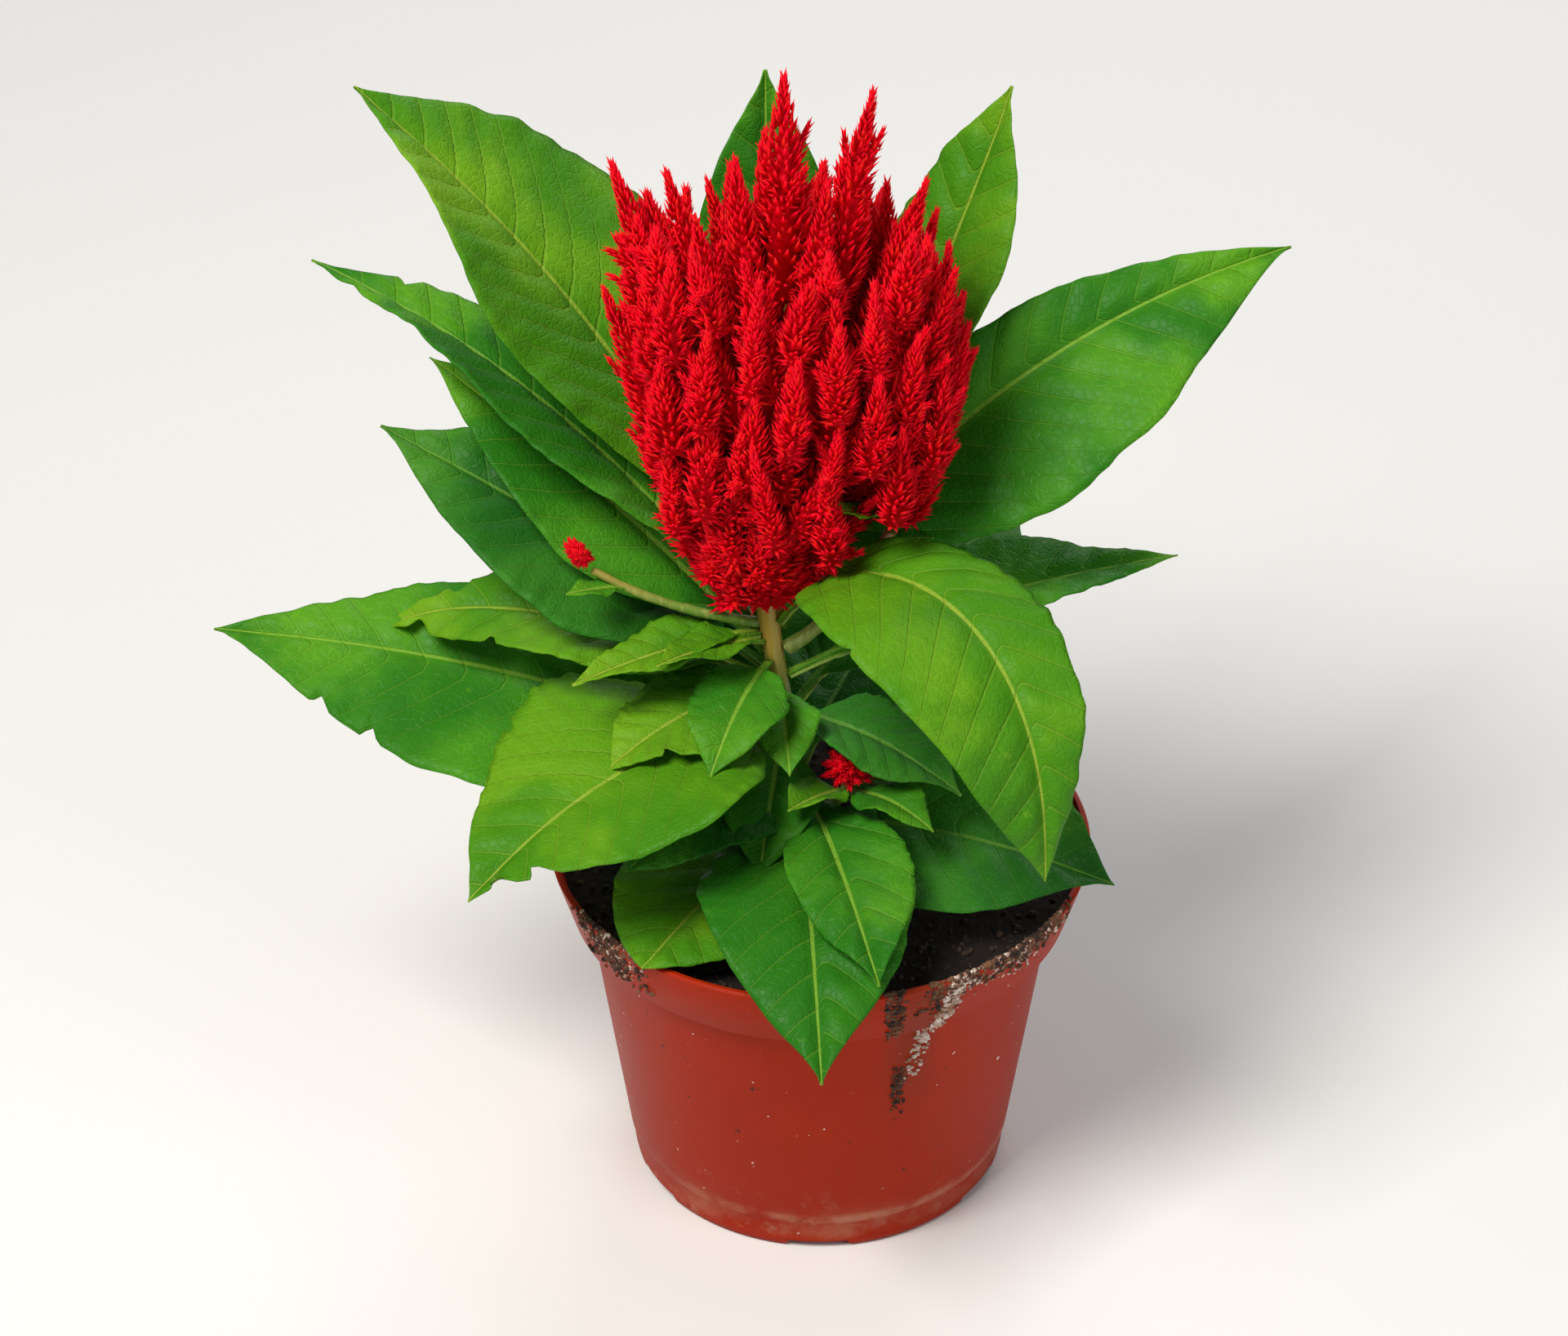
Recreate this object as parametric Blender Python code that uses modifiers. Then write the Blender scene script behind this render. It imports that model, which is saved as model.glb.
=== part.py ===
"""Plume celosia in bloom with its nursery pot: one upright plant, faceted solids, metres, +Z up.

The origin is the centre of the pot's foot. +X is the viewer's right, +Y points away from the viewer.
"""
import math
import random

import bmesh
import bpy
from mathutils import Matrix, Vector, noise

MM = 0.001
GAP = 0.3 * MM

# Pot: thin moulded plastic with a stepped collar and a notched foot ring.
POT_HEIGHT = 84.6 * MM
FOOT_RADIUS = 42.5 * MM
FOOT_ROUNDING = 2.6 * MM
WALL_TOP_RADIUS = 52.2 * MM
COLLAR_BOTTOM = 70.0 * MM
COLLAR_RADIUS = 55.8 * MM
RIM_RADIUS = 60.0 * MM
POT_WALL = 1.3 * MM
FLOOR_BOTTOM = 2.2 * MM
FLOOR_TOP = 3.8 * MM
FOOT_RING_WIDTH = 3.2 * MM
# Round pad in the middle of the floor's underside, level with the foot ring.
PAD_RADIUS = 6.0 * MM
PAD_EDGE = 0.4 * MM
POT_SEGMENTS = 48
NOTCH_COUNT = 6
NOTCH_WIDTH = 13.0 * MM
NOTCH_HEIGHT = 2.0 * MM
DRAIN_COUNT = 6
DRAIN_RADIUS = 4.0 * MM
DRAIN_CIRCLE = 24.0 * MM

# Soil: fills the pot to a little under the rim, with a hole for the stem.
SOIL_TOP = 79.0 * MM
SOIL_BUMP = 0.9 * MM
SOIL_RINGS = 5
SOIL_SEGMENTS = 24

# Main stem: leans a little to the left from the soil up to the flower head.
STEM_FOOT = Vector((0.0, 4.5, 50.0)) * MM
STEM_HEAD = Vector((-12.0, 0.0, 147.0)) * MM
STEM_FOOT_RADIUS = 2.9 * MM
STEM_HEAD_RADIUS = 2.1 * MM
STEM_SEGMENTS = 10
STEM_RINGS = 8

# Leaves: a blade that rises from the stem and bends down along its midrib.
BLADE_THICKNESS = 0.7 * MM
PETIOLE_HALF_WIDTH = 0.9 * MM
LEAF_ROWS = 10
LEAF_COLUMNS = 4
EDGE_WAVE = 1.5
EDGE_WAVES = 1.75

# Each leaf: height on the stem (mm), bearing (deg, 0 = right, 90 = away), length and width (mm), rise at the
# stem (deg), how far it bends down and sideways by its tip (deg), roll about the midrib (deg), fold of the two
# halves (deg), share of the full half-width left and right of the midrib, petiole share, fullness at the base
# and at the tip.
LEAF_KEYS = ("height", "bearing", "length", "width", "rise", "droop", "sway", "roll", "fold", "left", "right",
             "petiole", "base", "tip")
LEAVES = {
    "leaf_right_broad": (142, -26, 122, 68, 62, 156, -50, 0, 6, 0.5, 0.88, 0.15, 0.62, 1.10),
    "leaf_right_low": (127, 14, 90, 32, 22, 22, 0, 0, 10, 1.0, 1.0, 0.12, 0.85, 1.25),
    "leaf_right_folded": (138.5, 26, 140, 52, 54, 42, -14, 40, 12, 0.5, 1.15, 0.12, 1.10, 1.25),
    "leaf_right_tall": (140.6, 42, 125, 36, 52, -12, 0, 0, 8, 0.9, 1.0, 0.16, 1.60, 1.20),
    "leaf_back_tall": (136, 92, 122, 32, 54, -22, 0, 0, 10, 1.0, 1.0, 0.16, 1.60, 1.20),
    "leaf_left_tall": (140, 126, 146, 62, 48, 10, 42, 0, 8, 0.85, 1.15, 0.15, 1.10, 1.20),
    "leaf_left_narrow": (137, 152, 130, 34, 50, 40, 2, 8, 10, 1.0, 1.0, 0.12, 0.85, 1.25),
    "leaf_left_upper": (132.5, 153, 97, 38, 40, 16, 0, -20, 8, 1.0, 1.0, 0.12, 0.85, 1.25),
    "leaf_left_dark": (128.5, 160, 99, 46, 32, 14, 0, -20, 8, 1.0, 1.0, 0.12, 0.85, 1.25),
    "leaf_left_curled": (125.5, 169, 92, 34, 22, 36, 0, -10, 10, 1.0, 0.7, 0.12, 0.85, 1.25),
    "leaf_left_long": (104, 174, 128, 66, 22, 22, 0, -22, 6, 1.0, 0.62, 0.12, 0.80, 1.20),
    "leaf_front_left_broad": (116, -143, 86, 62, 17, 50, 4, 0, 6, 1.0, 1.0, 0.10, 0.75, 1.20),
    "leaf_front_left_strip": (139, -156, 44, 16, 10, 26, 0, 0, 14, 1.0, 1.0, 0.12, 0.85, 1.25),
    "leaf_front_left_waved": (126.5, -144, 44, 32, 8, 32, 0, 0, 2, 1.0, 0.9, 0.12, 0.85, 1.25),
    "leaf_front_left_lower": (106, -134, 48, 44, -2, 12, 0, 0, 6, 0.85, 1.0, 0.10, 0.80, 1.20),
    "leaf_front_round": (89, -122, 60, 42, 3, 12, 0, 0, 4, 1.0, 1.0, 0.12, 0.70, 0.80),
    "leaf_front_hanging": (94.5, -86, 89, 46, 18, 52, 0, 0, 3, 1.0, 1.0, 0.12, 0.85, 1.25),
    "leaf_front_small": (103.5, -74, 72, 30, 6, 24, -2, 0, 5, 1.0, 0.8, 0.14, 1.20, 1.25),
    "leaf_front_right_lower": (88, -24, 73, 52, 16, 26, 0, 14, 8, 1.0, 1.0, 0.10, 0.85, 1.25),
    "leaf_right_inner": (118, -30, 44, 24, 10, 40, 0, 0, 4, 1.0, 1.0, 0.12, 0.85, 1.25),
    "leaf_back_right": (116, 52, 88, 44, 26, 44, 0, 0, 8, 1.0, 1.0, 0.12, 0.85, 1.25),
    "leaf_back": (118, 100, 96, 48, 34, 50, 0, 0, 8, 1.0, 1.0, 0.12, 0.85, 1.25),
    "leaf_back_left": (112, 130, 84, 42, 30, 40, 0, 0, 8, 1.0, 1.0, 0.12, 0.85, 1.25),
    "leaf_back_low": (98, 70, 72, 38, 18, 30, 0, 0, 8, 1.0, 1.0, 0.12, 0.85, 1.25),
}
LEAF_GREEN = (0.13, 0.36, 0.05)

# Plume: upright spires around one axis. The rows give, from the bottom up, the height, the centre's X, and the
# half-width and half-depth (mm) of the surface on which the tips of the side spires lie.
PLUME_ROWS = (
    (148, -12, 6, 6),
    (154, -15, 10, 9),
    (163, -17, 13, 12),
    (171, -16, 18, 15),
    (179, -9, 27, 19),
    (188, -5, 32, 22),
    (200, -4, 35, 24),
    (215, -6, 37, 25),
    (230, -8, 35, 24),
    (245, -10, 30, 20),
    (256, -10, 20, 14),
)
PLUME_CORE_SHARE = 0.46
PLUME_CORE_TOP = 226.0 * MM
PLUME_CORE_SEGMENTS = 12
PLUME_SEED = 7
SIDE_SPIRES = 44
SIDE_REACH = 40.0 * MM
SIDE_RADIUS = 6.4 * MM
SIDE_STEPS = 2
SIDE_SEGMENTS = 5
# Tips of the tallest spires (mm), read off the outline of the flower head.
TALL_TIPS = ((-8, 0, 273), (10, 1, 269), (-18, -2, 255), (-32, 2, 250), (-43, -2, 254), (21, 2, 248),
             (29, -3, 224), (-45, -4, 226), (1, -6, 252), (-26, -8, 245), (-12, 8, 256), (7, 10, 250))
TALL_REACH = 50.0 * MM
TALL_RADIUS = 7.2 * MM
TALL_STEPS = 4
TALL_SEGMENTS = 6
PLUME_RED = (0.62, 0.01, 0.012)

# Side shoots: start height on the main stem (mm), end point (mm), foot and head radius (mm).
SHOOTS = {
    "front_shoot": (91, (6.0, -14.5, 108.1), 1.5, 1.1),
    "right_shoot": (134, (15.0, 0.5, 164.5), 1.6, 1.3),
    "left_shoot": (141, (-48.6, -5.2, 157.4), 1.2, 0.8),
}
# Small leaves that grow from the shoots: shoot, share of its length, bearing, length, width, rise, droop.
SHOOT_LEAVES = (
    ("front_shoot", 0.93, -126, 22, 13, 32, 30),
    ("front_shoot", 0.90, -42, 27, 15, 34, 60),
    ("front_shoot", 0.62, 30, 20, 10, 30, 30),
    ("right_shoot", 0.93, -15, 11, 6, 24, 20),
    ("right_shoot", 0.72, -75, 9, 6, 40, 20),
    ("left_shoot", 0.80, -150, 14, 7, 20, 20),
)
# Buds that sit on the ends of shoots: shoot, radius and height (mm), lean towards the left (deg).
BUDS = {
    "bud_front": ("front_shoot", 5.8, 9.5, 0),
    "bud_left": ("left_shoot", 2.8, 8.0, 35),
}
BUD_SEAT = 0.8 * MM
BUD_SPIKES = 12


def clear_scene():
    for item in list(bpy.data.objects):
        bpy.data.objects.remove(item, do_unlink=True)


def make_collection(name):
    collection = bpy.data.collections.new(name)
    bpy.context.scene.collection.children.link(collection)
    return collection


def make_material(name, colour, roughness):
    material = bpy.data.materials.new(name)
    material.use_nodes = True
    shader = material.node_tree.nodes["Principled BSDF"]
    shader.inputs["Base Color"].default_value = (*colour, 1.0)
    shader.inputs["Roughness"].default_value = roughness
    shader.inputs["Metallic"].default_value = 0.0
    return material


def add_mesh(bm, name, collection):
    bmesh.ops.recalc_face_normals(bm, faces=bm.faces)
    mesh = bpy.data.meshes.new(name)
    bm.to_mesh(mesh)
    bm.free()
    item = bpy.data.objects.new(name, mesh)
    collection.objects.link(item)
    return item


def apply_modifiers(item):
    """Replaces the object's mesh by its evaluated mesh."""
    bpy.context.view_layer.update()
    evaluated = item.evaluated_get(bpy.context.evaluated_depsgraph_get())
    mesh = bpy.data.meshes.new_from_object(evaluated)
    item.modifiers.clear()
    item.data = mesh


def islands(bm):
    """Lists the faces of each connected body."""
    left = set(bm.faces)
    found = []
    while left:
        stack = [left.pop()]
        body = []
        while stack:
            face = stack.pop()
            body.append(face)
            for edge in face.edges:
                for other in edge.link_faces:
                    if other in left:
                        left.remove(other)
                        stack.append(other)
        found.append(body)
    return found


def keep_main_body(item):
    """Keeps the largest body, so that sealed hollows are filled and loose scrap goes."""
    bm = bmesh.new()
    bm.from_mesh(item.data)
    bmesh.ops.triangulate(bm, faces=bm.faces)
    bodies = islands(bm)

    def volume(body):
        return sum(f.verts[0].co.dot(f.verts[1].co.cross(f.verts[2].co)) for f in body)

    bodies.sort(key=volume)
    for body in bodies[:-1]:
        bmesh.ops.delete(bm, geom=body, context="FACES")
    bmesh.ops.delete(bm, geom=[v for v in bm.verts if not v.link_faces], context="VERTS")
    bm.to_mesh(item.data)
    bm.free()


def combine(item, others, operation):
    """One Boolean of the object with a collection of others, which are then removed."""
    tools = make_collection(item.name + "_tools")
    for other in others:
        for holder in list(other.users_collection):
            holder.objects.unlink(other)
        tools.objects.link(other)
    modifier = item.modifiers.new("combine", "BOOLEAN")
    modifier.operand_type = "COLLECTION"
    modifier.collection = tools
    modifier.operation = operation
    modifier.solver = "EXACT"
    apply_modifiers(item)
    for other in others:
        bpy.data.objects.remove(other, do_unlink=True)
    bpy.data.collections.remove(tools)
    keep_main_body(item)


def turned(profile, name, segments, collection):
    """A solid turned about Z: the profile runs from the axis to the outside, down and back to the axis."""
    bm = bmesh.new()
    points = [bm.verts.new((r, 0.0, z)) for r, z in profile]
    for one, two in zip(points, points[1:]):
        bm.edges.new((one, two))
    item = add_mesh(bm, name, collection)
    screw = item.modifiers.new("turn", "SCREW")
    screw.axis = "Z"
    screw.steps = segments
    screw.render_steps = segments
    screw.use_merge_vertices = True
    screw.merge_threshold = 0.00001
    apply_modifiers(item)
    return item


def tube(name, points, radii, collection):
    """A closed round tube along the points."""
    curve = bpy.data.curves.new(name, "CURVE")
    curve.dimensions = "3D"
    curve.bevel_depth = 1.0
    curve.bevel_resolution = 2
    curve.use_fill_caps = True
    spline = curve.splines.new("POLY")
    spline.points.add(len(points) - 1)
    for knot, point, radius in zip(spline.points, points, radii):
        knot.co = (*point, 1.0)
        knot.radius = radius
    source = bpy.data.objects.new(name + "_path", curve)
    collection.objects.link(source)
    bpy.context.view_layer.update()
    evaluated = source.evaluated_get(bpy.context.evaluated_depsgraph_get())
    mesh = bpy.data.meshes.new_from_object(evaluated)
    bpy.data.objects.remove(source, do_unlink=True)
    bm = bmesh.new()
    bm.from_mesh(mesh)
    bmesh.ops.remove_doubles(bm, verts=bm.verts, dist=0.00001)
    return add_mesh(bm, name, collection)


def stem_point(height):
    share = (height - STEM_FOOT.z) / (STEM_HEAD.z - STEM_FOOT.z)
    return STEM_FOOT.lerp(STEM_HEAD, share)


def stem_radius(height):
    share = (height - STEM_FOOT.z) / (STEM_HEAD.z - STEM_FOOT.z)
    return STEM_FOOT_RADIUS + (STEM_HEAD_RADIUS - STEM_FOOT_RADIUS) * share


def direction(bearing, pitch):
    flat = math.cos(pitch)
    return Vector((flat * math.cos(bearing), flat * math.sin(bearing), math.sin(pitch)))


def midrib(leaf, start, shares):
    """Points and frames (along, left, up) of the midrib at the given shares of the leaf's length."""
    sub_steps = 8
    point = start.copy()
    bearing = math.radians(leaf["bearing"])
    rise = math.radians(leaf["rise"])
    droop = math.radians(leaf["droop"])
    sway = math.radians(leaf["sway"])
    roll = math.radians(leaf["roll"])
    frames = []
    last = 0.0
    for share in shares:
        for k in range(sub_steps):
            middle = last + (share - last) * (k + 0.5) / sub_steps
            step = (share - last) / sub_steps * leaf["length"]
            point = point + direction(bearing + sway * middle, rise - droop * middle) * step
        last = share
        turn = bearing + sway * share
        along = direction(turn, rise - droop * share)
        flat_left = Vector((-math.sin(turn), math.cos(turn), 0.0))
        flat_up = along.cross(flat_left)
        left = flat_left * math.cos(roll) + flat_up * math.sin(roll)
        up = flat_up * math.cos(roll) - flat_left * math.sin(roll)
        frames.append((point.copy(), along, left, up))
    return frames


def half_width(leaf, share):
    """Half the blade's width at a share of the leaf's length: 0 on the petiole and at the tip."""
    blade = (share - leaf["petiole"]) / (1.0 - leaf["petiole"])
    if blade <= 0.0 or blade >= 1.0:
        return 0.0
    widest = leaf["base"] / (leaf["base"] + leaf["tip"])
    return 0.5 * leaf["width"] * (blade / widest) ** leaf["base"] * ((1 - blade) / (1 - widest)) ** leaf["tip"]


def leaf_surface(bm, leaf, start, rows, columns, phase):
    """The open surface of one leaf, a grid from the petiole's foot to the tip, triangulated."""
    shares = [0.0] + [leaf["petiole"] + (1 - leaf["petiole"]) * k / (rows - 1) for k in range(rows)]
    fold = math.radians(leaf["fold"])
    grid = []
    for share, (point, along, left, up) in zip(shares, midrib(leaf, start, shares)):
        width = half_width(leaf, share)
        blade = max(0.0, (share - leaf["petiole"]) / (1 - leaf["petiole"]))
        if share >= 1.0:
            grid.append([bm.verts.new(point)] * (columns + 1))
            continue
        row = []
        for column in range(columns + 1):
            side = 2.0 * column / columns - 1.0
            reach = max(width * (leaf["left"] if side > 0 else leaf["right"]), PETIOLE_HALF_WIDTH)
            ripple = math.sin(2 * math.pi * EDGE_WAVES * blade + phase + (0.9 if side > 0 else 0.0))
            wave = EDGE_WAVE * MM * ripple * side * side * min(1.0, width / (8 * MM))
            lift = abs(side) * reach * math.sin(fold) + wave
            row.append(bm.verts.new(point + left * (side * reach * math.cos(fold)) + up * lift))
        grid.append(row)
    for one, two in zip(grid, grid[1:]):
        for column in range(columns):
            corners = [one[column], one[column + 1], two[column + 1], two[column]]
            bm.faces.new(list(dict.fromkeys(corners)))
    bmesh.ops.triangulate(bm, faces=bm.faces)


def leaf_object(name, leaf, start, rows, columns, phase, collection):
    bm = bmesh.new()
    leaf_surface(bm, leaf, start, rows, columns, phase)
    item = add_mesh(bm, name, collection)
    solid = item.modifiers.new("thickness", "SOLIDIFY")
    solid.thickness = BLADE_THICKNESS
    solid.offset = 0.0
    apply_modifiers(item)
    return item


def stem_leaf(name, values, phase, collection):
    """One leaf whose petiole ends a gap short of the main stem."""
    leaf = dict(zip(LEAF_KEYS, values))
    for key in ("height", "length", "width"):
        leaf[key] *= MM
    centre = stem_point(leaf["height"])
    out = direction(math.radians(leaf["bearing"]), 0.0)
    clear = stem_radius(leaf["height"]) + GAP + BLADE_THICKNESS * abs(math.sin(math.radians(leaf["rise"])))
    return leaf_object(name, leaf, centre + out * clear, LEAF_ROWS, LEAF_COLUMNS, phase, collection)


def spire(name, base, tip, radius, steps, segments, turn, collection):
    """A closed bristly spike: whorls that flare and narrow in turn up to a point."""
    axis = tip - base
    side = axis.cross(Vector((0.3, 1.0, 0.2))).normalized()
    other = axis.cross(side).normalized()
    levels = [(0.0, 0.45)]
    for step in range(steps):
        low = (step + 0.35) / (steps + 0.25)
        high = (step + 0.75) / (steps + 0.25)
        levels.append((low, 1.1 * (1.0 - low) ** 0.7))
        levels.append((high, 0.8 * (1.0 - high) ** 0.7))
    bm = bmesh.new()
    rings = []
    for k, (level, share) in enumerate(levels):
        ring = []
        for j in range(segments):
            angle = 2 * math.pi * (j + 0.5 * (k % 2)) / segments + turn
            offset = (side * math.cos(angle) + other * math.sin(angle)) * radius * share
            ring.append(bm.verts.new(base + axis * level + offset))
        rings.append(ring)
    close_rings(bm, rings, base, tip)
    return add_mesh(bm, name, collection)


def close_rings(bm, rings, bottom, top):
    """Joins the rings with faces and closes both ends on a point."""
    count = len(rings[0])
    foot = bm.verts.new(bottom)
    head = bm.verts.new(top)
    for j in range(count):
        k = (j + 1) % count
        bm.faces.new((rings[0][k], rings[0][j], foot))
        bm.faces.new((rings[-1][j], rings[-1][k], head))
        for low, high in zip(rings, rings[1:]):
            bm.faces.new((low[j], low[k], high[k]))
            bm.faces.new((low[j], high[k], high[j]))


def plume_row(height):
    """Centre's X, half-width and half-depth of the plume at a height (all in mm)."""
    for low, high in zip(PLUME_ROWS, PLUME_ROWS[1:]):
        if height <= high[0]:
            share = (height - low[0]) / (high[0] - low[0])
            return [a + (b - a) * share for a, b in zip(low[1:], high[1:])]
    return list(PLUME_ROWS[-1][1:])


def make_plume(collection):
    """The flower head: a smaller core and its spires, fused into one body."""
    rng = random.Random(PLUME_SEED)
    bm = bmesh.new()
    rings = []
    for height, centre, wide, deep in PLUME_ROWS:
        if height * MM > PLUME_CORE_TOP:
            continue
        ring = []
        for j in range(PLUME_CORE_SEGMENTS):
            angle = 2 * math.pi * j / PLUME_CORE_SEGMENTS
            x = centre + PLUME_CORE_SHARE * wide * math.cos(angle)
            y = PLUME_CORE_SHARE * deep * math.sin(angle)
            ring.append(bm.verts.new(Vector((x, y, height)) * MM))
        rings.append(ring)
    neck = STEM_HEAD + Vector((0.0, 0.0, GAP))
    close_rings(bm, rings, neck, Vector((-9.0 * MM, 0.0, PLUME_CORE_TOP)))
    core = add_mesh(bm, "plume", collection)
    spires = []
    for k, tip in enumerate(TALL_TIPS):
        tip = Vector(tip) * MM
        foot = Vector((0.55 * tip.x - 4.0 * MM, 0.5 * tip.y, tip.z - TALL_REACH))
        radius = TALL_RADIUS * (1.15 if k == 0 else 1.0)
        spires.append(spire("tall_spire", foot, tip, radius, TALL_STEPS, TALL_SEGMENTS, k, collection))
    for k in range(SIDE_SPIRES):
        share = (k + 0.5) / SIDE_SPIRES
        height = 158.0 + 88.0 * share ** 0.9
        centre, wide, deep = plume_row(height)
        angle = math.radians(137.5 * k + 20.0)
        reach = rng.uniform(0.88, 1.02)
        tip = Vector((centre + reach * wide * math.cos(angle), reach * deep * math.sin(angle), height)) * MM
        foot_height = max(150.0, height - SIDE_REACH / MM * rng.uniform(0.85, 1.1))
        low, low_wide, low_deep = plume_row(foot_height)
        foot = Vector((low + 0.6 * low_wide * math.cos(angle), 0.6 * low_deep * math.sin(angle), foot_height)) * MM
        radius = SIDE_RADIUS * rng.uniform(0.85, 1.15) * min(1.0, 0.4 + (height - 150.0) / 50.0)
        spires.append(spire("side_spire", foot, tip, radius, SIDE_STEPS, SIDE_SEGMENTS, angle, collection))
    combine(core, spires, "UNION")
    return core


def make_pot(collection):
    """The pot: a turned shell whose foot ring is notched and whose floor has drain holes."""
    inner = POT_WALL
    profile = (
        (0.0, FLOOR_TOP),
        (FOOT_RADIUS - inner, FLOOR_TOP),
        (WALL_TOP_RADIUS - inner, COLLAR_BOTTOM + 0.5 * MM),
        (COLLAR_RADIUS - inner, COLLAR_BOTTOM + 1.3 * MM),
        (RIM_RADIUS - inner, POT_HEIGHT),
        (RIM_RADIUS - 0.4 * MM, POT_HEIGHT),
        (RIM_RADIUS, POT_HEIGHT - 0.5 * MM),
        (COLLAR_RADIUS, COLLAR_BOTTOM),
        (WALL_TOP_RADIUS, COLLAR_BOTTOM),
        (FOOT_RADIUS, FOOT_ROUNDING),
        (FOOT_RADIUS - 0.35 * MM, 0.8 * MM),
        (FOOT_RADIUS - 1.1 * MM, 0.0),
        (FOOT_RADIUS - FOOT_RING_WIDTH, 0.0),
        (FOOT_RADIUS - FOOT_RING_WIDTH, FLOOR_BOTTOM),
        (PAD_RADIUS + 2 * PAD_EDGE, FLOOR_BOTTOM),
        (PAD_RADIUS + PAD_EDGE, PAD_EDGE),
        (PAD_RADIUS, 0.0),
        (0.0, 0.0),
    )
    pot = turned(profile, "pot", POT_SEGMENTS, collection)
    cutters = []
    for k in range(NOTCH_COUNT):
        angle = math.radians(-90.0) + 2 * math.pi * k / NOTCH_COUNT
        bm = bmesh.new()
        bmesh.ops.create_cube(bm, size=1.0)
        for vert in bm.verts:
            flare = 1.2 if vert.co.z < 0 else 1.0
            vert.co.x *= 9.0 * MM
            vert.co.y *= NOTCH_WIDTH * flare
            vert.co.z = (vert.co.z - 0.5) * NOTCH_HEIGHT + NOTCH_HEIGHT
            vert.co.x += FOOT_RADIUS
        bmesh.ops.rotate(bm, verts=bm.verts, cent=(0, 0, 0), matrix=Matrix.Rotation(angle, 3, "Z"))
        cutters.append(add_mesh(bm, "notch", collection))
    for k in range(DRAIN_COUNT):
        angle = 2 * math.pi * (k + 0.5) / DRAIN_COUNT
        bm = bmesh.new()
        bmesh.ops.create_cone(bm, cap_ends=True, segments=16, radius1=DRAIN_RADIUS, radius2=DRAIN_RADIUS,
                              depth=12 * MM)
        spot = Vector((DRAIN_CIRCLE * math.cos(angle), DRAIN_CIRCLE * math.sin(angle), FLOOR_TOP))
        bmesh.ops.translate(bm, verts=bm.verts, vec=spot)
        cutters.append(add_mesh(bm, "drain", collection))
    combine(pot, cutters, "DIFFERENCE")
    return pot


def make_soil(collection):
    """The soil: fills the pot inside the wall, with a crumbly top and a hole for the stem."""
    inner = POT_WALL + GAP
    top_share = (SOIL_TOP - COLLAR_BOTTOM) / (POT_HEIGHT - COLLAR_BOTTOM)
    top_radius = COLLAR_RADIUS + (RIM_RADIUS - COLLAR_RADIUS) * top_share - inner
    profile = [(top_radius * k / SOIL_RINGS, SOIL_TOP) for k in range(SOIL_RINGS + 1)]
    profile += [
        (COLLAR_RADIUS - inner, COLLAR_BOTTOM + 1.8 * MM),
        (WALL_TOP_RADIUS - inner, COLLAR_BOTTOM + 0.4 * MM),
        (FOOT_RADIUS - inner, FLOOR_TOP + GAP),
        (0.0, FLOOR_TOP + GAP),
    ]
    soil = turned(profile, "soil", SOIL_SEGMENTS, collection)
    for vert in soil.data.vertices:
        if vert.co.z > SOIL_TOP - 0.1 * MM:
            vert.co.z += SOIL_BUMP * noise.noise(vert.co * 90.0)
    heights = (STEM_FOOT.z - GAP, STEM_FOOT.z + 45 * MM)
    points = [stem_point(height) for height in heights]
    radii = [stem_radius(height) + 1.4 * GAP for height in heights]
    combine(soil, [tube("stem_hole", points, radii, collection)], "DIFFERENCE")
    return soil


def make_main_stem(collection):
    heights = [STEM_FOOT.z + (STEM_HEAD.z - STEM_FOOT.z) * k / STEM_RINGS for k in range(STEM_RINGS + 1)]
    points = [stem_point(height) for height in heights]
    return tube("main_stem", points, [stem_radius(height) for height in heights], collection)


def shoot_path(height, end, foot_radius):
    """Points of a side shoot: from a gap beside the main stem outwards and then up in a bow."""
    centre = stem_point(height * MM)
    end = Vector(end) * MM
    away = Vector((end.x - centre.x, end.y - centre.y, 0.0))
    pitch = math.atan(0.25 * (end.z - centre.z) / (0.55 * away.length))
    clear = stem_radius(height * MM) + GAP + foot_radius * MM * math.sin(pitch)
    start = centre + away.normalized() * clear
    corner = start.lerp(end, 0.55)
    corner.z = start.z + 0.25 * (end.z - start.z)
    points = []
    for k in range(7):
        t = k / 6
        points.append(start * (1 - t) ** 2 + corner * (2 * t * (1 - t)) + end * t * t)
    return points


def make_shoot(name, collection):
    """A side shoot with its small leaves, fused."""
    height, end, foot_radius, head_radius = SHOOTS[name]
    points = shoot_path(height, end, foot_radius)
    radii = [(foot_radius + (head_radius - foot_radius) * k / 6) * MM for k in range(7)]
    shoot = tube(name, points, radii, collection)
    leaves = []
    for k, (owner, share, bearing, length, width, rise, droop) in enumerate(SHOOT_LEAVES):
        if owner != name:
            continue
        values = (0, bearing, length, width, rise, droop, 0, 0, 10, 1.0, 1.0, 0.12, 0.85, 1.25)
        leaf = dict(zip(LEAF_KEYS, values))
        for key in ("length", "width"):
            leaf[key] *= MM
        knot = int(share * 6)
        foot = points[knot].lerp(points[knot + 1], share * 6 - knot)
        leaves.append(leaf_object("small_leaf", leaf, foot, 6, 4, 1.3 * k, collection))
    combine(shoot, leaves, "UNION")
    return shoot


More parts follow.
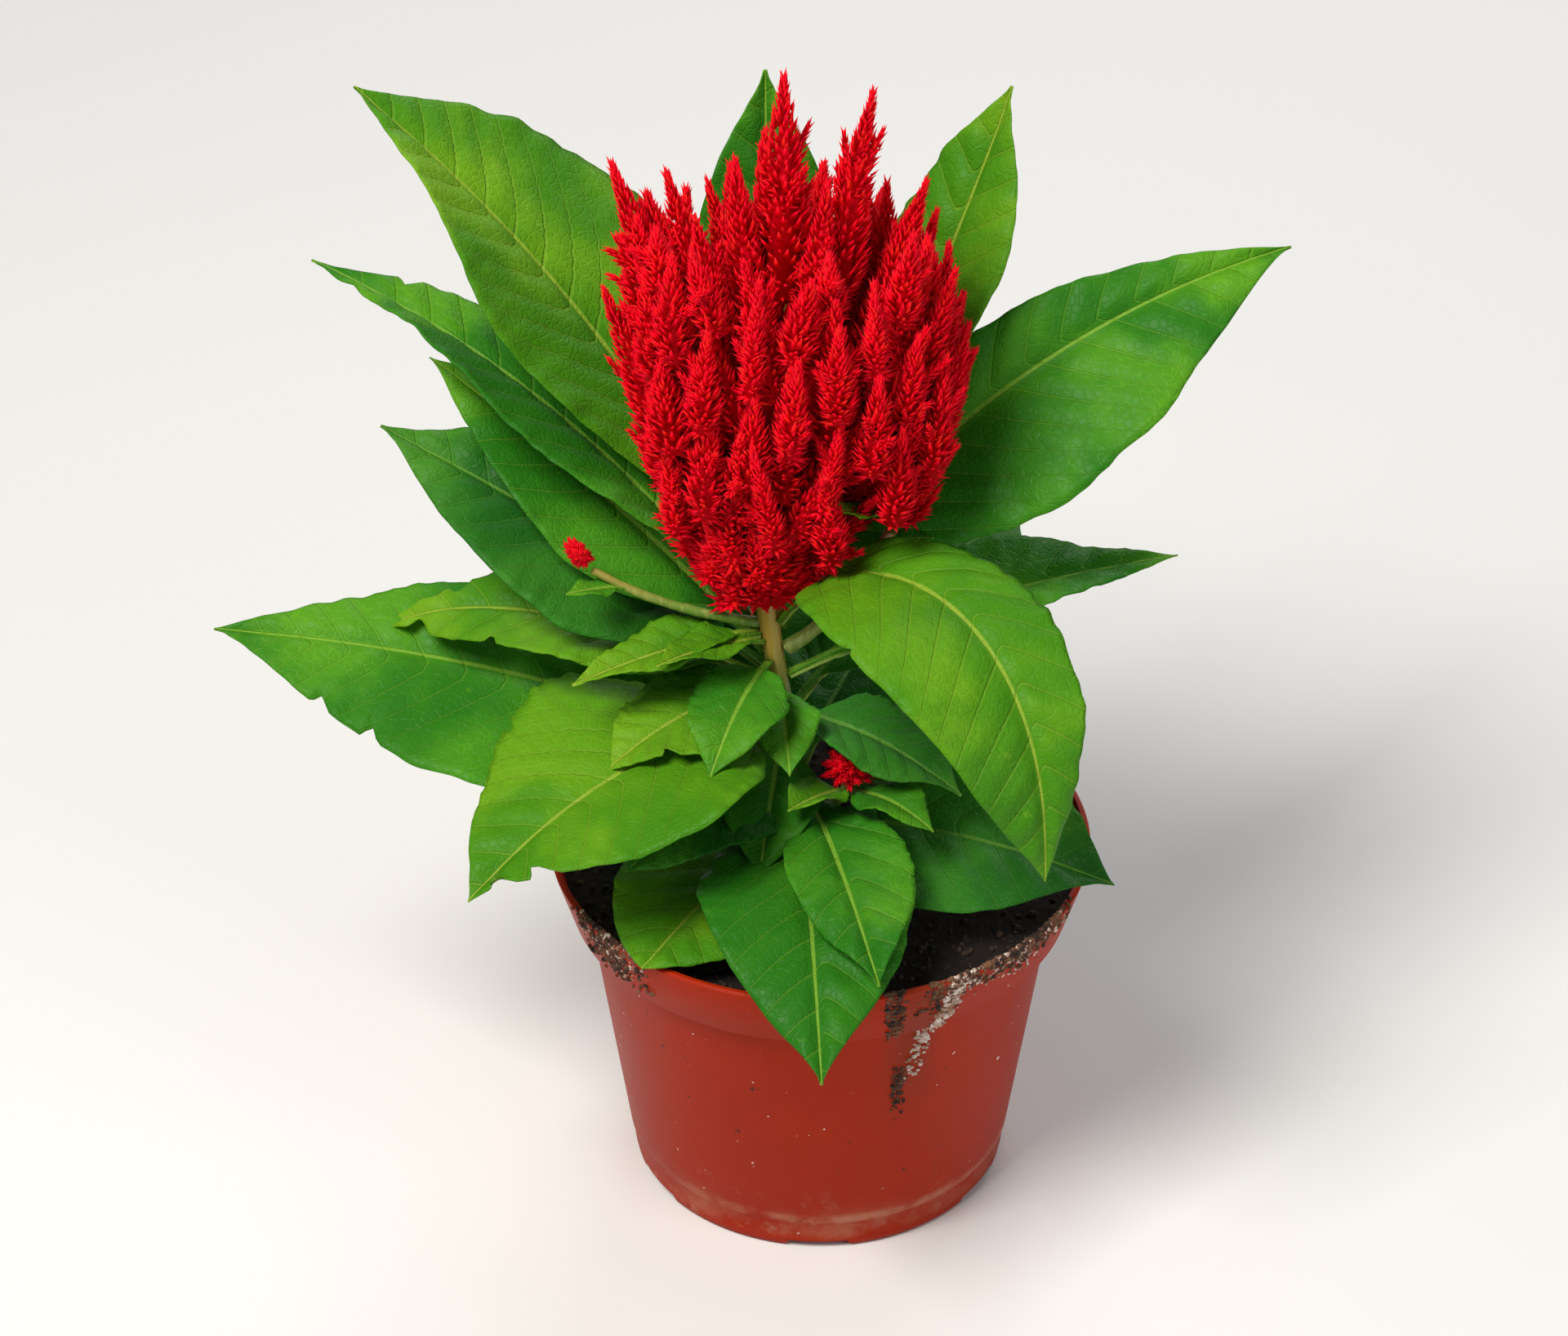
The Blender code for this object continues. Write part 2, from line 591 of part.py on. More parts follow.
def make_bud(name, collection):
    """A young flower head: a knob covered with short spikes."""
    owner, radius, height, lean = BUDS[name]
    radius *= MM
    height *= MM
    tilt = Matrix.Rotation(math.radians(-lean), 3, "Y")
    centre = Vector(SHOOTS[owner][1]) * MM + tilt @ Vector((0.0, 0.0, 0.38 * height + BUD_SEAT))
    bm = bmesh.new()
    bmesh.ops.create_icosphere(bm, subdivisions=1, radius=1.0)
    for vert in bm.verts:
        shape = Vector((vert.co.x * radius * 0.7, vert.co.y * radius * 0.7, vert.co.z * height * 0.38))
        vert.co = centre + tilt @ shape
    bud = add_mesh(bm, name, collection)
    spikes = []
    for k in range(BUD_SPIKES):
        up = -0.35 + 1.3 * (k + 0.5) / BUD_SPIKES
        flat = math.sqrt(max(0.0, 1.0 - up * up))
        angle = math.radians(137.5 * k)
        way = Vector((flat * math.cos(angle) * radius, flat * math.sin(angle) * radius, up * height * 0.56))
        tip = centre + tilt @ way
        foot = centre + tilt @ (way * 0.25)
        spikes.append(spire("spike", foot, tip, radius * 0.3, 1, 5, angle, collection))
    combine(bud, spikes, "UNION")
    return bud


def main():
    clear_scene()
    plant = make_collection("plume_celosia")
    plastic = make_material("terracotta_plastic", (0.36, 0.033, 0.013), 0.45)
    earth = make_material("soil", (0.012, 0.009, 0.006), 0.95)
    green = make_material("leaf_green", LEAF_GREEN, 0.5)
    stem_green = make_material("stem_green", (0.24, 0.3, 0.06), 0.5)
    red = make_material("plume_red", PLUME_RED, 0.7)
    pieces = [
        (make_pot(plant), plastic),
        (make_soil(plant), earth),
        (make_main_stem(plant), stem_green),
        (make_plume(plant), red),
    ]
    for k, (name, values) in enumerate(LEAVES.items()):
        pieces.append((stem_leaf(name, values, 0.9 * k, plant), green))
    for name in SHOOTS:
        pieces.append((make_shoot(name, plant), green))
    for name in BUDS:
        pieces.append((make_bud(name, plant), red))
    for item, material in pieces:
        item.data.materials.clear()
        item.data.materials.append(material)
        item.data.polygons.foreach_set("material_index", [0] * len(item.data.polygons))


main()
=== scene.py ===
"""Plume celosia in bloom in its nursery pot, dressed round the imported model.

Metres, +Z up, +X the viewer's right, +Y away from the viewer. The origin is the centre of the pot's foot.
"""
import math
import random

import bmesh
import bpy
from mathutils import Matrix, Vector, noise


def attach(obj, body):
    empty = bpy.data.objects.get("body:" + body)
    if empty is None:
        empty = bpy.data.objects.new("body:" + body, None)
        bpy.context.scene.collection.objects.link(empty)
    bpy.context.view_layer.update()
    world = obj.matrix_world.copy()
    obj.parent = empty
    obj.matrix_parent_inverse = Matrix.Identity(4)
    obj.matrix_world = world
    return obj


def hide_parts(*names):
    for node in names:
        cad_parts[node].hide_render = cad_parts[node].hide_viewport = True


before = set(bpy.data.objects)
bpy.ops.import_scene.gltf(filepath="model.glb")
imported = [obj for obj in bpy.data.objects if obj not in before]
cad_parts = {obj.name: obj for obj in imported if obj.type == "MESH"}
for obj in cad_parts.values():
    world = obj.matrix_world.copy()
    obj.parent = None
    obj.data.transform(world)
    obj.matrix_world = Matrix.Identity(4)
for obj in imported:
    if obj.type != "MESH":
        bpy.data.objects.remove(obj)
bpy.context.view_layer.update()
MM = 0.001


# Pot. A thin nursery pot, injection moulded in terracotta-coloured plastic: a tapered wall, a stepped collar with
# a plain rim, a foot ring with six notches, and drain holes and a round pad in the floor. It is scuffed pale round the foot,
# and dried salts and potting soil have run over its rim.
POT_HEIGHT = 84.6 * MM
FOOT_RADIUS = 42.5 * MM
WALL_TOP_RADIUS = 52.2 * MM
COLLAR_BOTTOM = 70.0 * MM
COLLAR_RADIUS = 55.8 * MM
RIM_RADIUS = 60.0 * MM
POT_WALL = 1.3 * MM
POT_STEPS = 160
NOTCH_COUNT = 6
POT_PROFILE = (
    (0.0, 3.8), (41.2, 3.8), (50.9, 70.5), (54.5, 71.3), (58.7, 84.6), (59.5, 84.6), (60.0, 84.1), (59.7, 82.6),
    (55.9, 70.3), (55.5, 69.9), (52.4, 69.9), (52.15, 69.4), (43.5, 8.6), (42.9, 7.6), (42.5, 2.6), (42.15, 0.8),
    (41.4, 0.0), (39.3, 0.0), (39.3, 2.2), (6.8, 2.2), (6.4, 0.4), (6.0, 0.0), (0.0, 0.0),
)


def add_piece(bm, name, materials, smooth_angle=40.0):
    """Makes an object of the bmesh, shaded smooth up to the angle, riding on the plant's body."""
    mesh = bpy.data.meshes.new(name)
    bm.to_mesh(mesh)
    bm.free()
    mesh.shade_smooth()
    if smooth_angle < 180.0:
        mesh.set_sharp_from_angle(angle=math.radians(smooth_angle))
    piece = bpy.data.objects.new(name, mesh)
    bpy.context.scene.collection.objects.link(piece)
    for material in materials:
        mesh.materials.append(material)
    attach(piece, "root")
    return piece


def spun(profile, steps):
    """A bmesh of a profile in millimetres turned about Z."""
    bm = bmesh.new()
    points = [bm.verts.new((r * MM, 0.0, z * MM)) for r, z in profile]
    edges = [bm.edges.new(pair) for pair in zip(points, points[1:])]
    bmesh.ops.spin(bm, geom=points + edges, cent=(0, 0, 0), axis=(0, 0, 1), angle=math.tau, steps=steps,
                   use_merge=True)
    bmesh.ops.remove_doubles(bm, verts=bm.verts, dist=0.01 * MM)
    bmesh.ops.recalc_face_normals(bm, faces=bm.faces)
    return bm


def cut_notches_and_drains(pot):
    """Cuts the foot ring's notches and the floor's drain holes with one Boolean."""
    bm = bmesh.new()
    for k in range(NOTCH_COUNT):
        turn = Matrix.Rotation(math.radians(-90.0) + math.tau * k / NOTCH_COUNT, 4, "Z")
        made = bmesh.ops.create_cube(bm, size=1.0)["verts"]
        for vert in made:
            flare = 1.2 if vert.co.z < 0 else 1.0
            vert.co = Vector((vert.co.x * 9.0 + 42.5, vert.co.y * 13.0 * flare, vert.co.z * 2.0 + 1.0)) * MM
        bmesh.ops.transform(bm, matrix=turn, verts=made)
        spot = Matrix.Translation((24.0 * MM, 0.0, 3.0 * MM))
        half_turn = Matrix.Rotation(math.pi / NOTCH_COUNT, 4, "Z")
        bmesh.ops.create_cone(bm, cap_ends=True, segments=32, radius1=4.0 * MM, radius2=4.0 * MM, depth=12 * MM,
                              matrix=turn @ half_turn @ spot)
    cutter_mesh = bpy.data.meshes.new("pot_cutter")
    bm.to_mesh(cutter_mesh)
    bm.free()
    cutter = bpy.data.objects.new("pot_cutter", cutter_mesh)
    bpy.context.scene.collection.objects.link(cutter)
    cut = pot.modifiers.new("cut", "BOOLEAN")
    cut.operation = "DIFFERENCE"
    cut.object = cutter
    bpy.context.view_layer.update()
    result = bpy.data.meshes.new_from_object(pot.evaluated_get(bpy.context.evaluated_depsgraph_get()))
    pot.modifiers.clear()
    pot.data = result
    bpy.data.objects.remove(cutter, do_unlink=True)


def new_material(name):
    """A material with its node tree and its Principled shader."""
    material = bpy.data.materials.new(name)
    material.use_nodes = True
    return material, material.node_tree, material.node_tree.nodes["Principled BSDF"]


def add_node(tree, kind, values=(), **settings):
    """Adds a node, sets its named settings and fills its inputs with values or links."""
    node = tree.nodes.new(kind)
    for key, value in settings.items():
        setattr(node, key, value)
    for key, value in dict(values).items():
        if isinstance(value, bpy.types.NodeSocket):
            tree.links.new(value, node.inputs[key])
        else:
            node.inputs[key].default_value = value
    return node


def make_speckle_group():
    """Node group: soft-edged specks and blotches that break up a surface, read from a position."""
    group = bpy.data.node_groups.new("speckle", "ShaderNodeTree")
    face = group.interface
    face.new_socket("Position", in_out="INPUT", socket_type="NodeSocketVector")
    for label, value in (("Scale", 200.0), ("Amount", 0.5), ("Softness", 0.08), ("Detail", 4.0)):
        face.new_socket(label, in_out="INPUT", socket_type="NodeSocketFloat").default_value = value
    face.new_socket("Mask", in_out="OUTPUT", socket_type="NodeSocketFloat")
    start = group.nodes.new("NodeGroupInput")
    cloud = add_node(group, "ShaderNodeTexNoise", {
        "Vector": start.outputs["Position"], "Scale": start.outputs["Scale"], "Detail": start.outputs["Detail"],
        "Roughness": 0.65})
    low = add_node(group, "ShaderNodeMath", {0: 1.0, 1: start.outputs["Amount"]}, operation="SUBTRACT")
    high = add_node(group, "ShaderNodeMath", {0: low.outputs[0], 1: start.outputs["Softness"]}, operation="ADD")
    step = add_node(group, "ShaderNodeMapRange", {
        "Value": cloud.outputs["Fac"], "From Min": low.outputs[0], "From Max": high.outputs[0]},
        interpolation_type="SMOOTHSTEP")
    end = group.nodes.new("NodeGroupOutput")
    group.links.new(step.outputs["Result"], end.inputs["Mask"])
    return group


speckle = make_speckle_group()


def add_speckle(tree, position, scale, amount, softness=0.08, detail=4.0):
    """Places the speckle group and returns its mask."""
    node = tree.nodes.new("ShaderNodeGroup")
    node.node_tree = speckle
    tree.links.new(position, node.inputs["Position"])
    for label, value in (("Scale", scale), ("Amount", amount), ("Softness", softness), ("Detail", detail)):
        node.inputs[label].default_value = value
    return node.outputs["Mask"]


def mix_colour(tree, factor, one, two):
    """Mixes two colours, each a socket or an RGB value, by a factor socket."""
    values = {0: factor}
    for key, colour in ((6, one), (7, two)):
        values[key] = colour if isinstance(colour, bpy.types.NodeSocket) else (*colour, 1.0)
    return add_node(tree, "ShaderNodeMix", values, data_type="RGBA").outputs[2]


def calculate(tree, operation, one, two=0.0, three=0.0, clamp=False):
    """One Math node; returns its result."""
    return add_node(tree, "ShaderNodeMath", {0: one, 1: two, 2: three}, operation=operation,
                    use_clamp=clamp).outputs[0]


def smooth_range(tree, value, low, high):
    """0 below low, 1 above high and smooth between; low may be above high."""
    return add_node(tree, "ShaderNodeMapRange", {"Value": value, "From Min": low, "From Max": high},
                    interpolation_type="SMOOTHSTEP").outputs["Result"]


def make_pot_plastic():
    material, tree, shader = new_material("terracotta_plastic")
    place = add_node(tree, "ShaderNodeTexCoord").outputs["Object"]
    axes = add_node(tree, "ShaderNodeSeparateXYZ", {0: place}).outputs
    cloud = add_node(tree, "ShaderNodeTexNoise", {"Vector": place, "Scale": 45.0, "Detail": 5.0})
    colour = mix_colour(tree, cloud.outputs["Fac"], (0.320, 0.015, 0.001), (0.390, 0.022, 0.002))
    # Sun-faded pink haze, dull spots and fine scuffs over the wall.
    haze = add_speckle(tree, place, 70.0, 0.46, 0.30, 6.0)
    haze = calculate(tree, "MULTIPLY", haze, 0.08)
    colour = mix_colour(tree, haze, colour, (0.470, 0.070, 0.030))
    # The foot is rubbed pale where it bulges out above the ring.
    band = calculate(tree, "MULTIPLY", smooth_range(tree, axes["Z"], 15 * MM, 7 * MM),
                     smooth_range(tree, axes["Z"], 1.5 * MM, 4.5 * MM))
    rub = calculate(tree, "MULTIPLY", band, add_speckle(tree, place, 90.0, 0.62, 0.34, 6.0))
    rub = calculate(tree, "MULTIPLY", rub, 0.62)
    colour = mix_colour(tree, rub, colour, (0.420, 0.165, 0.100))
    # A thin pale line where the wall meets the bulge of the foot.
    line = calculate(tree, "MULTIPLY", smooth_range(tree, axes["Z"], 11.5 * MM, 9.6 * MM),
                     smooth_range(tree, axes["Z"], 7.4 * MM, 8.8 * MM))
    line = calculate(tree, "MULTIPLY", line, add_speckle(tree, place, 60.0, 0.60, 0.25, 5.0))
    colour = mix_colour(tree, calculate(tree, "MULTIPLY", line, 0.55), colour, (0.520, 0.250, 0.160))
    low_dust = calculate(tree, "MULTIPLY", smooth_range(tree, axes["Z"], 24 * MM, 2 * MM),
                         add_speckle(tree, place, 260.0, 0.42, 0.10))
    colour = mix_colour(tree, calculate(tree, "MULTIPLY", low_dust, 0.35), colour, (0.420, 0.200, 0.130))
    # Dark crumbs of soil stuck to the wall, and a few white grains.
    dirt = add_speckle(tree, place, 330.0, 0.285, 0.03, 2.0)
    colour = mix_colour(tree, calculate(tree, "MULTIPLY", dirt, 0.8), colour, (0.050, 0.020, 0.012))
    grain = add_speckle(tree, place, 520.0, 0.232, 0.02, 1.0)
    colour = mix_colour(tree, calculate(tree, "MULTIPLY", grain, 0.9), colour, (0.720, 0.600, 0.520))
    # Wet soil has washed over the rim at the front right and left a brown run down the wall.
    bearing = calculate(tree, "ARCTAN2", axes["Y"], axes["X"])
    run = calculate(tree, "ABSOLUTE", calculate(tree, "ADD", bearing, math.radians(66.5)))
    run = calculate(tree, "MULTIPLY_ADD", cloud.outputs["Fac"], 0.10, run)
    run = calculate(tree, "MULTIPLY", smooth_range(tree, run, 0.22, 0.08), smooth_range(tree, axes["Z"], 34 * MM, 62 * MM))
    colour = mix_colour(tree, calculate(tree, "MULTIPLY", run, 0.45), colour, (0.120, 0.030, 0.012))
    tree.links.new(colour, shader.inputs["Base Color"])
    rough = calculate(tree, "MULTIPLY_ADD", cloud.outputs["Fac"], 0.16, 0.34)
    rough = calculate(tree, "MULTIPLY_ADD", rub, 0.35, rough, clamp=True)
    tree.links.new(rough, shader.inputs["Roughness"])
    fine = add_node(tree, "ShaderNodeTexNoise", {"Vector": place, "Scale": 900.0, "Detail": 3.0})
    height = calculate(tree, "MULTIPLY_ADD", dirt, 0.8, fine.outputs["Fac"])
    bump = add_node(tree, "ShaderNodeBump", {"Height": height, "Strength": 0.25, "Distance": 0.2 * MM})
    tree.links.new(bump.outputs["Normal"], shader.inputs["Normal"])
    shader.inputs["Specular IOR Level"].default_value = 0.06
    return material


pot_plastic = make_pot_plastic()
pot = add_piece(spun(POT_PROFILE, POT_STEPS), "pot_moulding", [pot_plastic])
cut_notches_and_drains(pot)
pot.data.materials.clear()
pot.data.materials.append(pot_plastic)
pot.data.shade_smooth()
pot.data.set_sharp_from_angle(angle=math.radians(40.0))
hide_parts("pot")


# Soil. Dark peat potting mix that fills the pot to a little under its rim, uneven from watering, with loose
# crumbs of bark on top.
SOIL_TOP = 79.0 * MM
SOIL_PROFILE = [(57.0 * k / 40, 79.0) for k in range(41)] + [(53.6, 71.6), (50.4, 70.2), (40.9, 4.1), (0.0, 4.1)]
CRUMB_COUNT = 1100


def make_soil_material():
    material, tree, shader = new_material("peat_soil")
    place = add_node(tree, "ShaderNodeTexCoord").outputs["Object"]
    cloud = add_node(tree, "ShaderNodeTexNoise", {"Vector": place, "Scale": 260.0, "Detail": 8.0})
    colour = mix_colour(tree, cloud.outputs["Fac"], (0.004, 0.003, 0.003), (0.022, 0.014, 0.010))
    bits = add_speckle(tree, place, 520.0, 0.40, 0.06)
    colour = mix_colour(tree, calculate(tree, "MULTIPLY", bits, 0.5), colour, (0.075, 0.045, 0.028))
    tree.links.new(colour, shader.inputs["Base Color"])
    shader.inputs["Roughness"].default_value = 0.95
    shader.inputs["Specular IOR Level"].default_value = 0.25
    bump = add_node(tree, "ShaderNodeBump", {"Height": cloud.outputs["Fac"], "Strength": 1.0, "Distance": 1.2 * MM})
    tree.links.new(bump.outputs["Normal"], shader.inputs["Normal"])
    return material


def make_crumb_material(name, dark, light):
    material, tree, shader = new_material(name)
    place = add_node(tree, "ShaderNodeTexCoord").outputs["Object"]
    cloud = add_node(tree, "ShaderNodeTexNoise", {"Vector": place, "Scale": 380.0, "Detail": 4.0})
    colour = mix_colour(tree, smooth_range(tree, cloud.outputs["Fac"], 0.35, 0.68), dark, light)
    tree.links.new(colour, shader.inputs["Base Color"])
    shader.inputs["Roughness"].default_value = 0.9
    bump = add_node(tree, "ShaderNodeBump", {"Height": cloud.outputs["Fac"], "Strength": 0.8, "Distance": 0.4 * MM})
    tree.links.new(bump.outputs["Normal"], shader.inputs["Normal"])
    return material


def add_crumb(bm, rng, centre, size):
    """One irregular grain: a squashed and knocked icosphere."""
    turn = Matrix.Rotation(rng.uniform(0, math.tau), 4, Vector((rng.uniform(-1, 1), rng.uniform(-1, 1), 1.0)))
    shape = Matrix.Diagonal((rng.uniform(0.7, 1.3), rng.uniform(0.6, 1.1), rng.uniform(0.5, 0.9), 1.0))
    made = bmesh.ops.create_icosphere(bm, subdivisions=1, radius=size,
                                      matrix=Matrix.Translation(centre) @ turn @ shape)["verts"]
    for vert in made:
        vert.co += Vector((rng.uniform(-1, 1), rng.uniform(-1, 1), rng.uniform(-1, 1))) * size * 0.22


def soil_height(x, y):
    """Height of the soil's surface, crumbly."""
    spot = Vector((x, y, 0.0))
    rough = noise.noise(spot * 90.0) * 0.9 + noise.noise(spot * 420.0) * 0.5
    return SOIL_TOP + rough * MM


soil_material = make_soil_material()
soil_bm = spun(SOIL_PROFILE, 120)
for vert in soil_bm.verts:
    if vert.co.z > SOIL_TOP - 0.1 * MM:
        vert.co.z = soil_height(vert.co.x, vert.co.y)
soil = add_piece(soil_bm, "soil_body", [soil_material])
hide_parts("soil")

soil_rng = random.Random(11)
crumbs_bm = bmesh.new()
for k in range(CRUMB_COUNT):
    bearing = soil_rng.uniform(0, math.tau)
    radius = 56.0 * MM * math.sqrt(soil_rng.uniform(0.01, 1.0))
    x, y = radius * math.cos(bearing), radius * math.sin(bearing)
    size = soil_rng.uniform(0.35, 1.1) * MM
    add_crumb(crumbs_bm, soil_rng, Vector((x, y, soil_height(x, y) + 0.2 * size)), size)
crumbs = add_piece(crumbs_bm, "soil_crumbs",
                   [make_crumb_material("bark_crumbs", (0.006, 0.004, 0.003), (0.060, 0.034, 0.020))], 180.0)


# Crust. Peat and hard-water salts that dried on the rim and the collar where the plant was watered: a patch on the
# left, one on the right, and a run down the wall at the front right. Each grain sits on the pot's face.
CRUST_PATCHES = (
    # first bearing, last bearing, lowest, highest (mm), grains, largest grain (mm), white, turn at the bottom
    (205, 233, 71, 85, 420, 0.95, False, 0),
    (206, 231, 74, 85, 150, 0.80, True, 0),
    (296, 338, 78, 85, 420, 1.00, False, 0),
    (298, 336, 75, 85, 190, 0.85, True, 0),
    (283, 288, 65, 85, 260, 0.75, False, 2),
    (290, 304, 73, 85, 170, 0.85, False, 0),
    (298, 304, 52, 85, 420, 0.85, True, -8),
    (288, 293, 39, 55, 190, 0.60, False, 0),
)


def pot_face(height):
    """Outer radius of the pot at a height, both in millimetres."""
    if height > 84.2:
        return 59.4
    if height > 70.0:
        return 55.8 + (height - 70.0) * 4.2 / 14.6
    return 42.9 + (height - 7.6) * 9.3 / 62.0


crust_rng = random.Random(23)
crust_bms = {False: bmesh.new(), True: bmesh.new()}
for first, last, low, high, count, largest, white, turn in CRUST_PATCHES:
    for k in range(count):
        share = crust_rng.triangular(0.0, 1.0, 0.5)
        height = min(84.7, crust_rng.triangular(low, high + 2.0, high))
        fallen = (high - height) / (high - low)
        bearing = math.radians(first + (last - first) * share + turn * fallen)
        spot = Vector((math.cos(bearing), math.sin(bearing), 0.0)) * pot_face(height) * MM
        spot.z = height * MM
        add_crumb(crust_bms[white], crust_rng, spot, crust_rng.uniform(0.25, largest) * MM)
crust_looks = {
    False: ("soil_smear", (0.016, 0.008, 0.005), (0.180, 0.075, 0.034)),
    True: ("salt_grains", (0.300, 0.130, 0.070), (0.740, 0.640, 0.560)),
}
for white, crust_bm in crust_bms.items():
    look, dark, light = crust_looks[white]
    crust = add_piece(crust_bm, "rim_" + look, [make_crumb_material(look, dark, light)], 180.0)


# Main stem. A fleshy ribbed stem, thick at the soil and thinner at the flower head's neck, green low down and
# yellowish orange where it enters the head.
STEM_FOOT = Vector((0.0, 4.5, 50.0)) * MM
STEM_HEAD = Vector((-12.0, 0.0, 147.0)) * MM
STEM_FOOT_RADIUS = 2.9 * MM
STEM_HEAD_RADIUS = 2.1 * MM


def stem_point(height):
    share = (height - STEM_FOOT.z) / (STEM_HEAD.z - STEM_FOOT.z)
    return STEM_FOOT.lerp(STEM_HEAD, share)


def stem_radius(height):
    share = (height - STEM_FOOT.z) / (STEM_HEAD.z - STEM_FOOT.z)
    return STEM_FOOT_RADIUS + (STEM_HEAD_RADIUS - STEM_FOOT_RADIUS) * share


def stalk(points, radii, ribs, segments=18, steps=48):
    """A closed ribbed tube through the points, bent out of a flat grid."""
    bm = bmesh.new()
    bmesh.ops.create_grid(bm, x_segments=segments, y_segments=steps, size=1.0)
    last = len(points) - 1
    for vert in bm.verts:
        share = (vert.co.y + 1.0) / 2.0
        turn = math.pi * vert.co.x
        knot = min(int(share * last), last - 1)
        part = share * last - knot
        centre = points[knot].lerp(points[knot + 1], part)
        radius = radii[knot] + (radii[knot + 1] - radii[knot]) * part
        radius *= 1.0 + 0.06 * math.cos(ribs * turn) + 0.05 * math.sin(share * 21.0)
        along = (points[knot + 1] - points[knot]).normalized()
        side = along.cross(Vector((0.3, 1.0, 0.1))).normalized()
        other = along.cross(side)
        vert.co = centre + (side * math.cos(turn) + other * math.sin(turn)) * radius
    bmesh.ops.remove_doubles(bm, verts=bm.verts, dist=0.02 * MM)
    bmesh.ops.holes_fill(bm, edges=[edge for edge in bm.edges if edge.is_boundary], sides=0)
    bmesh.ops.recalc_face_normals(bm, faces=bm.faces)
    return bm


def make_stalk_material(name, low, high, first, last):
    """Fleshy stalk: one colour low down and another above, streaked along its length."""
    material, tree, shader = new_material(name)
    place = add_node(tree, "ShaderNodeTexCoord").outputs["Object"]
    axes = add_node(tree, "ShaderNodeSeparateXYZ", {0: place}).outputs
    colour = mix_colour(tree, smooth_range(tree, axes["Z"], first, last), low, high)
    stretched = add_node(tree, "ShaderNodeMapping", {"Vector": place, "Scale": (1.0, 1.0, 0.08)})
    streaks = add_node(tree, "ShaderNodeTexNoise", {"Vector": stretched.outputs[0], "Scale": 900.0, "Detail": 3.0})
    streak = calculate(tree, "MULTIPLY", smooth_range(tree, streaks.outputs["Fac"], 0.45, 0.7), 0.35)
    colour = mix_colour(tree, streak, colour, (0.560, 0.520, 0.180))
    tree.links.new(colour, shader.inputs["Base Color"])
    shader.inputs["Roughness"].default_value = 0.42
    bump = add_node(tree, "ShaderNodeBump", {"Height": streaks.outputs["Fac"], "Strength": 0.3, "Distance": 0.2 * MM})
    tree.links.new(bump.outputs["Normal"], shader.inputs["Normal"])
    return material


stem_skin = make_stalk_material("stem_skin", (0.110, 0.210, 0.030), (0.560, 0.330, 0.050), 0.115, 0.146)
stem_points = [STEM_FOOT.lerp(STEM_HEAD, k / 12) for k in range(13)]
stem_radii = [STEM_FOOT_RADIUS + (STEM_HEAD_RADIUS - STEM_FOOT_RADIUS) * k / 12 for k in range(13)]
main_stem = add_piece(stalk(stem_points, stem_radii, 9, 27, 60), "main_stem_skin", [stem_skin])
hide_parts("main_stem")
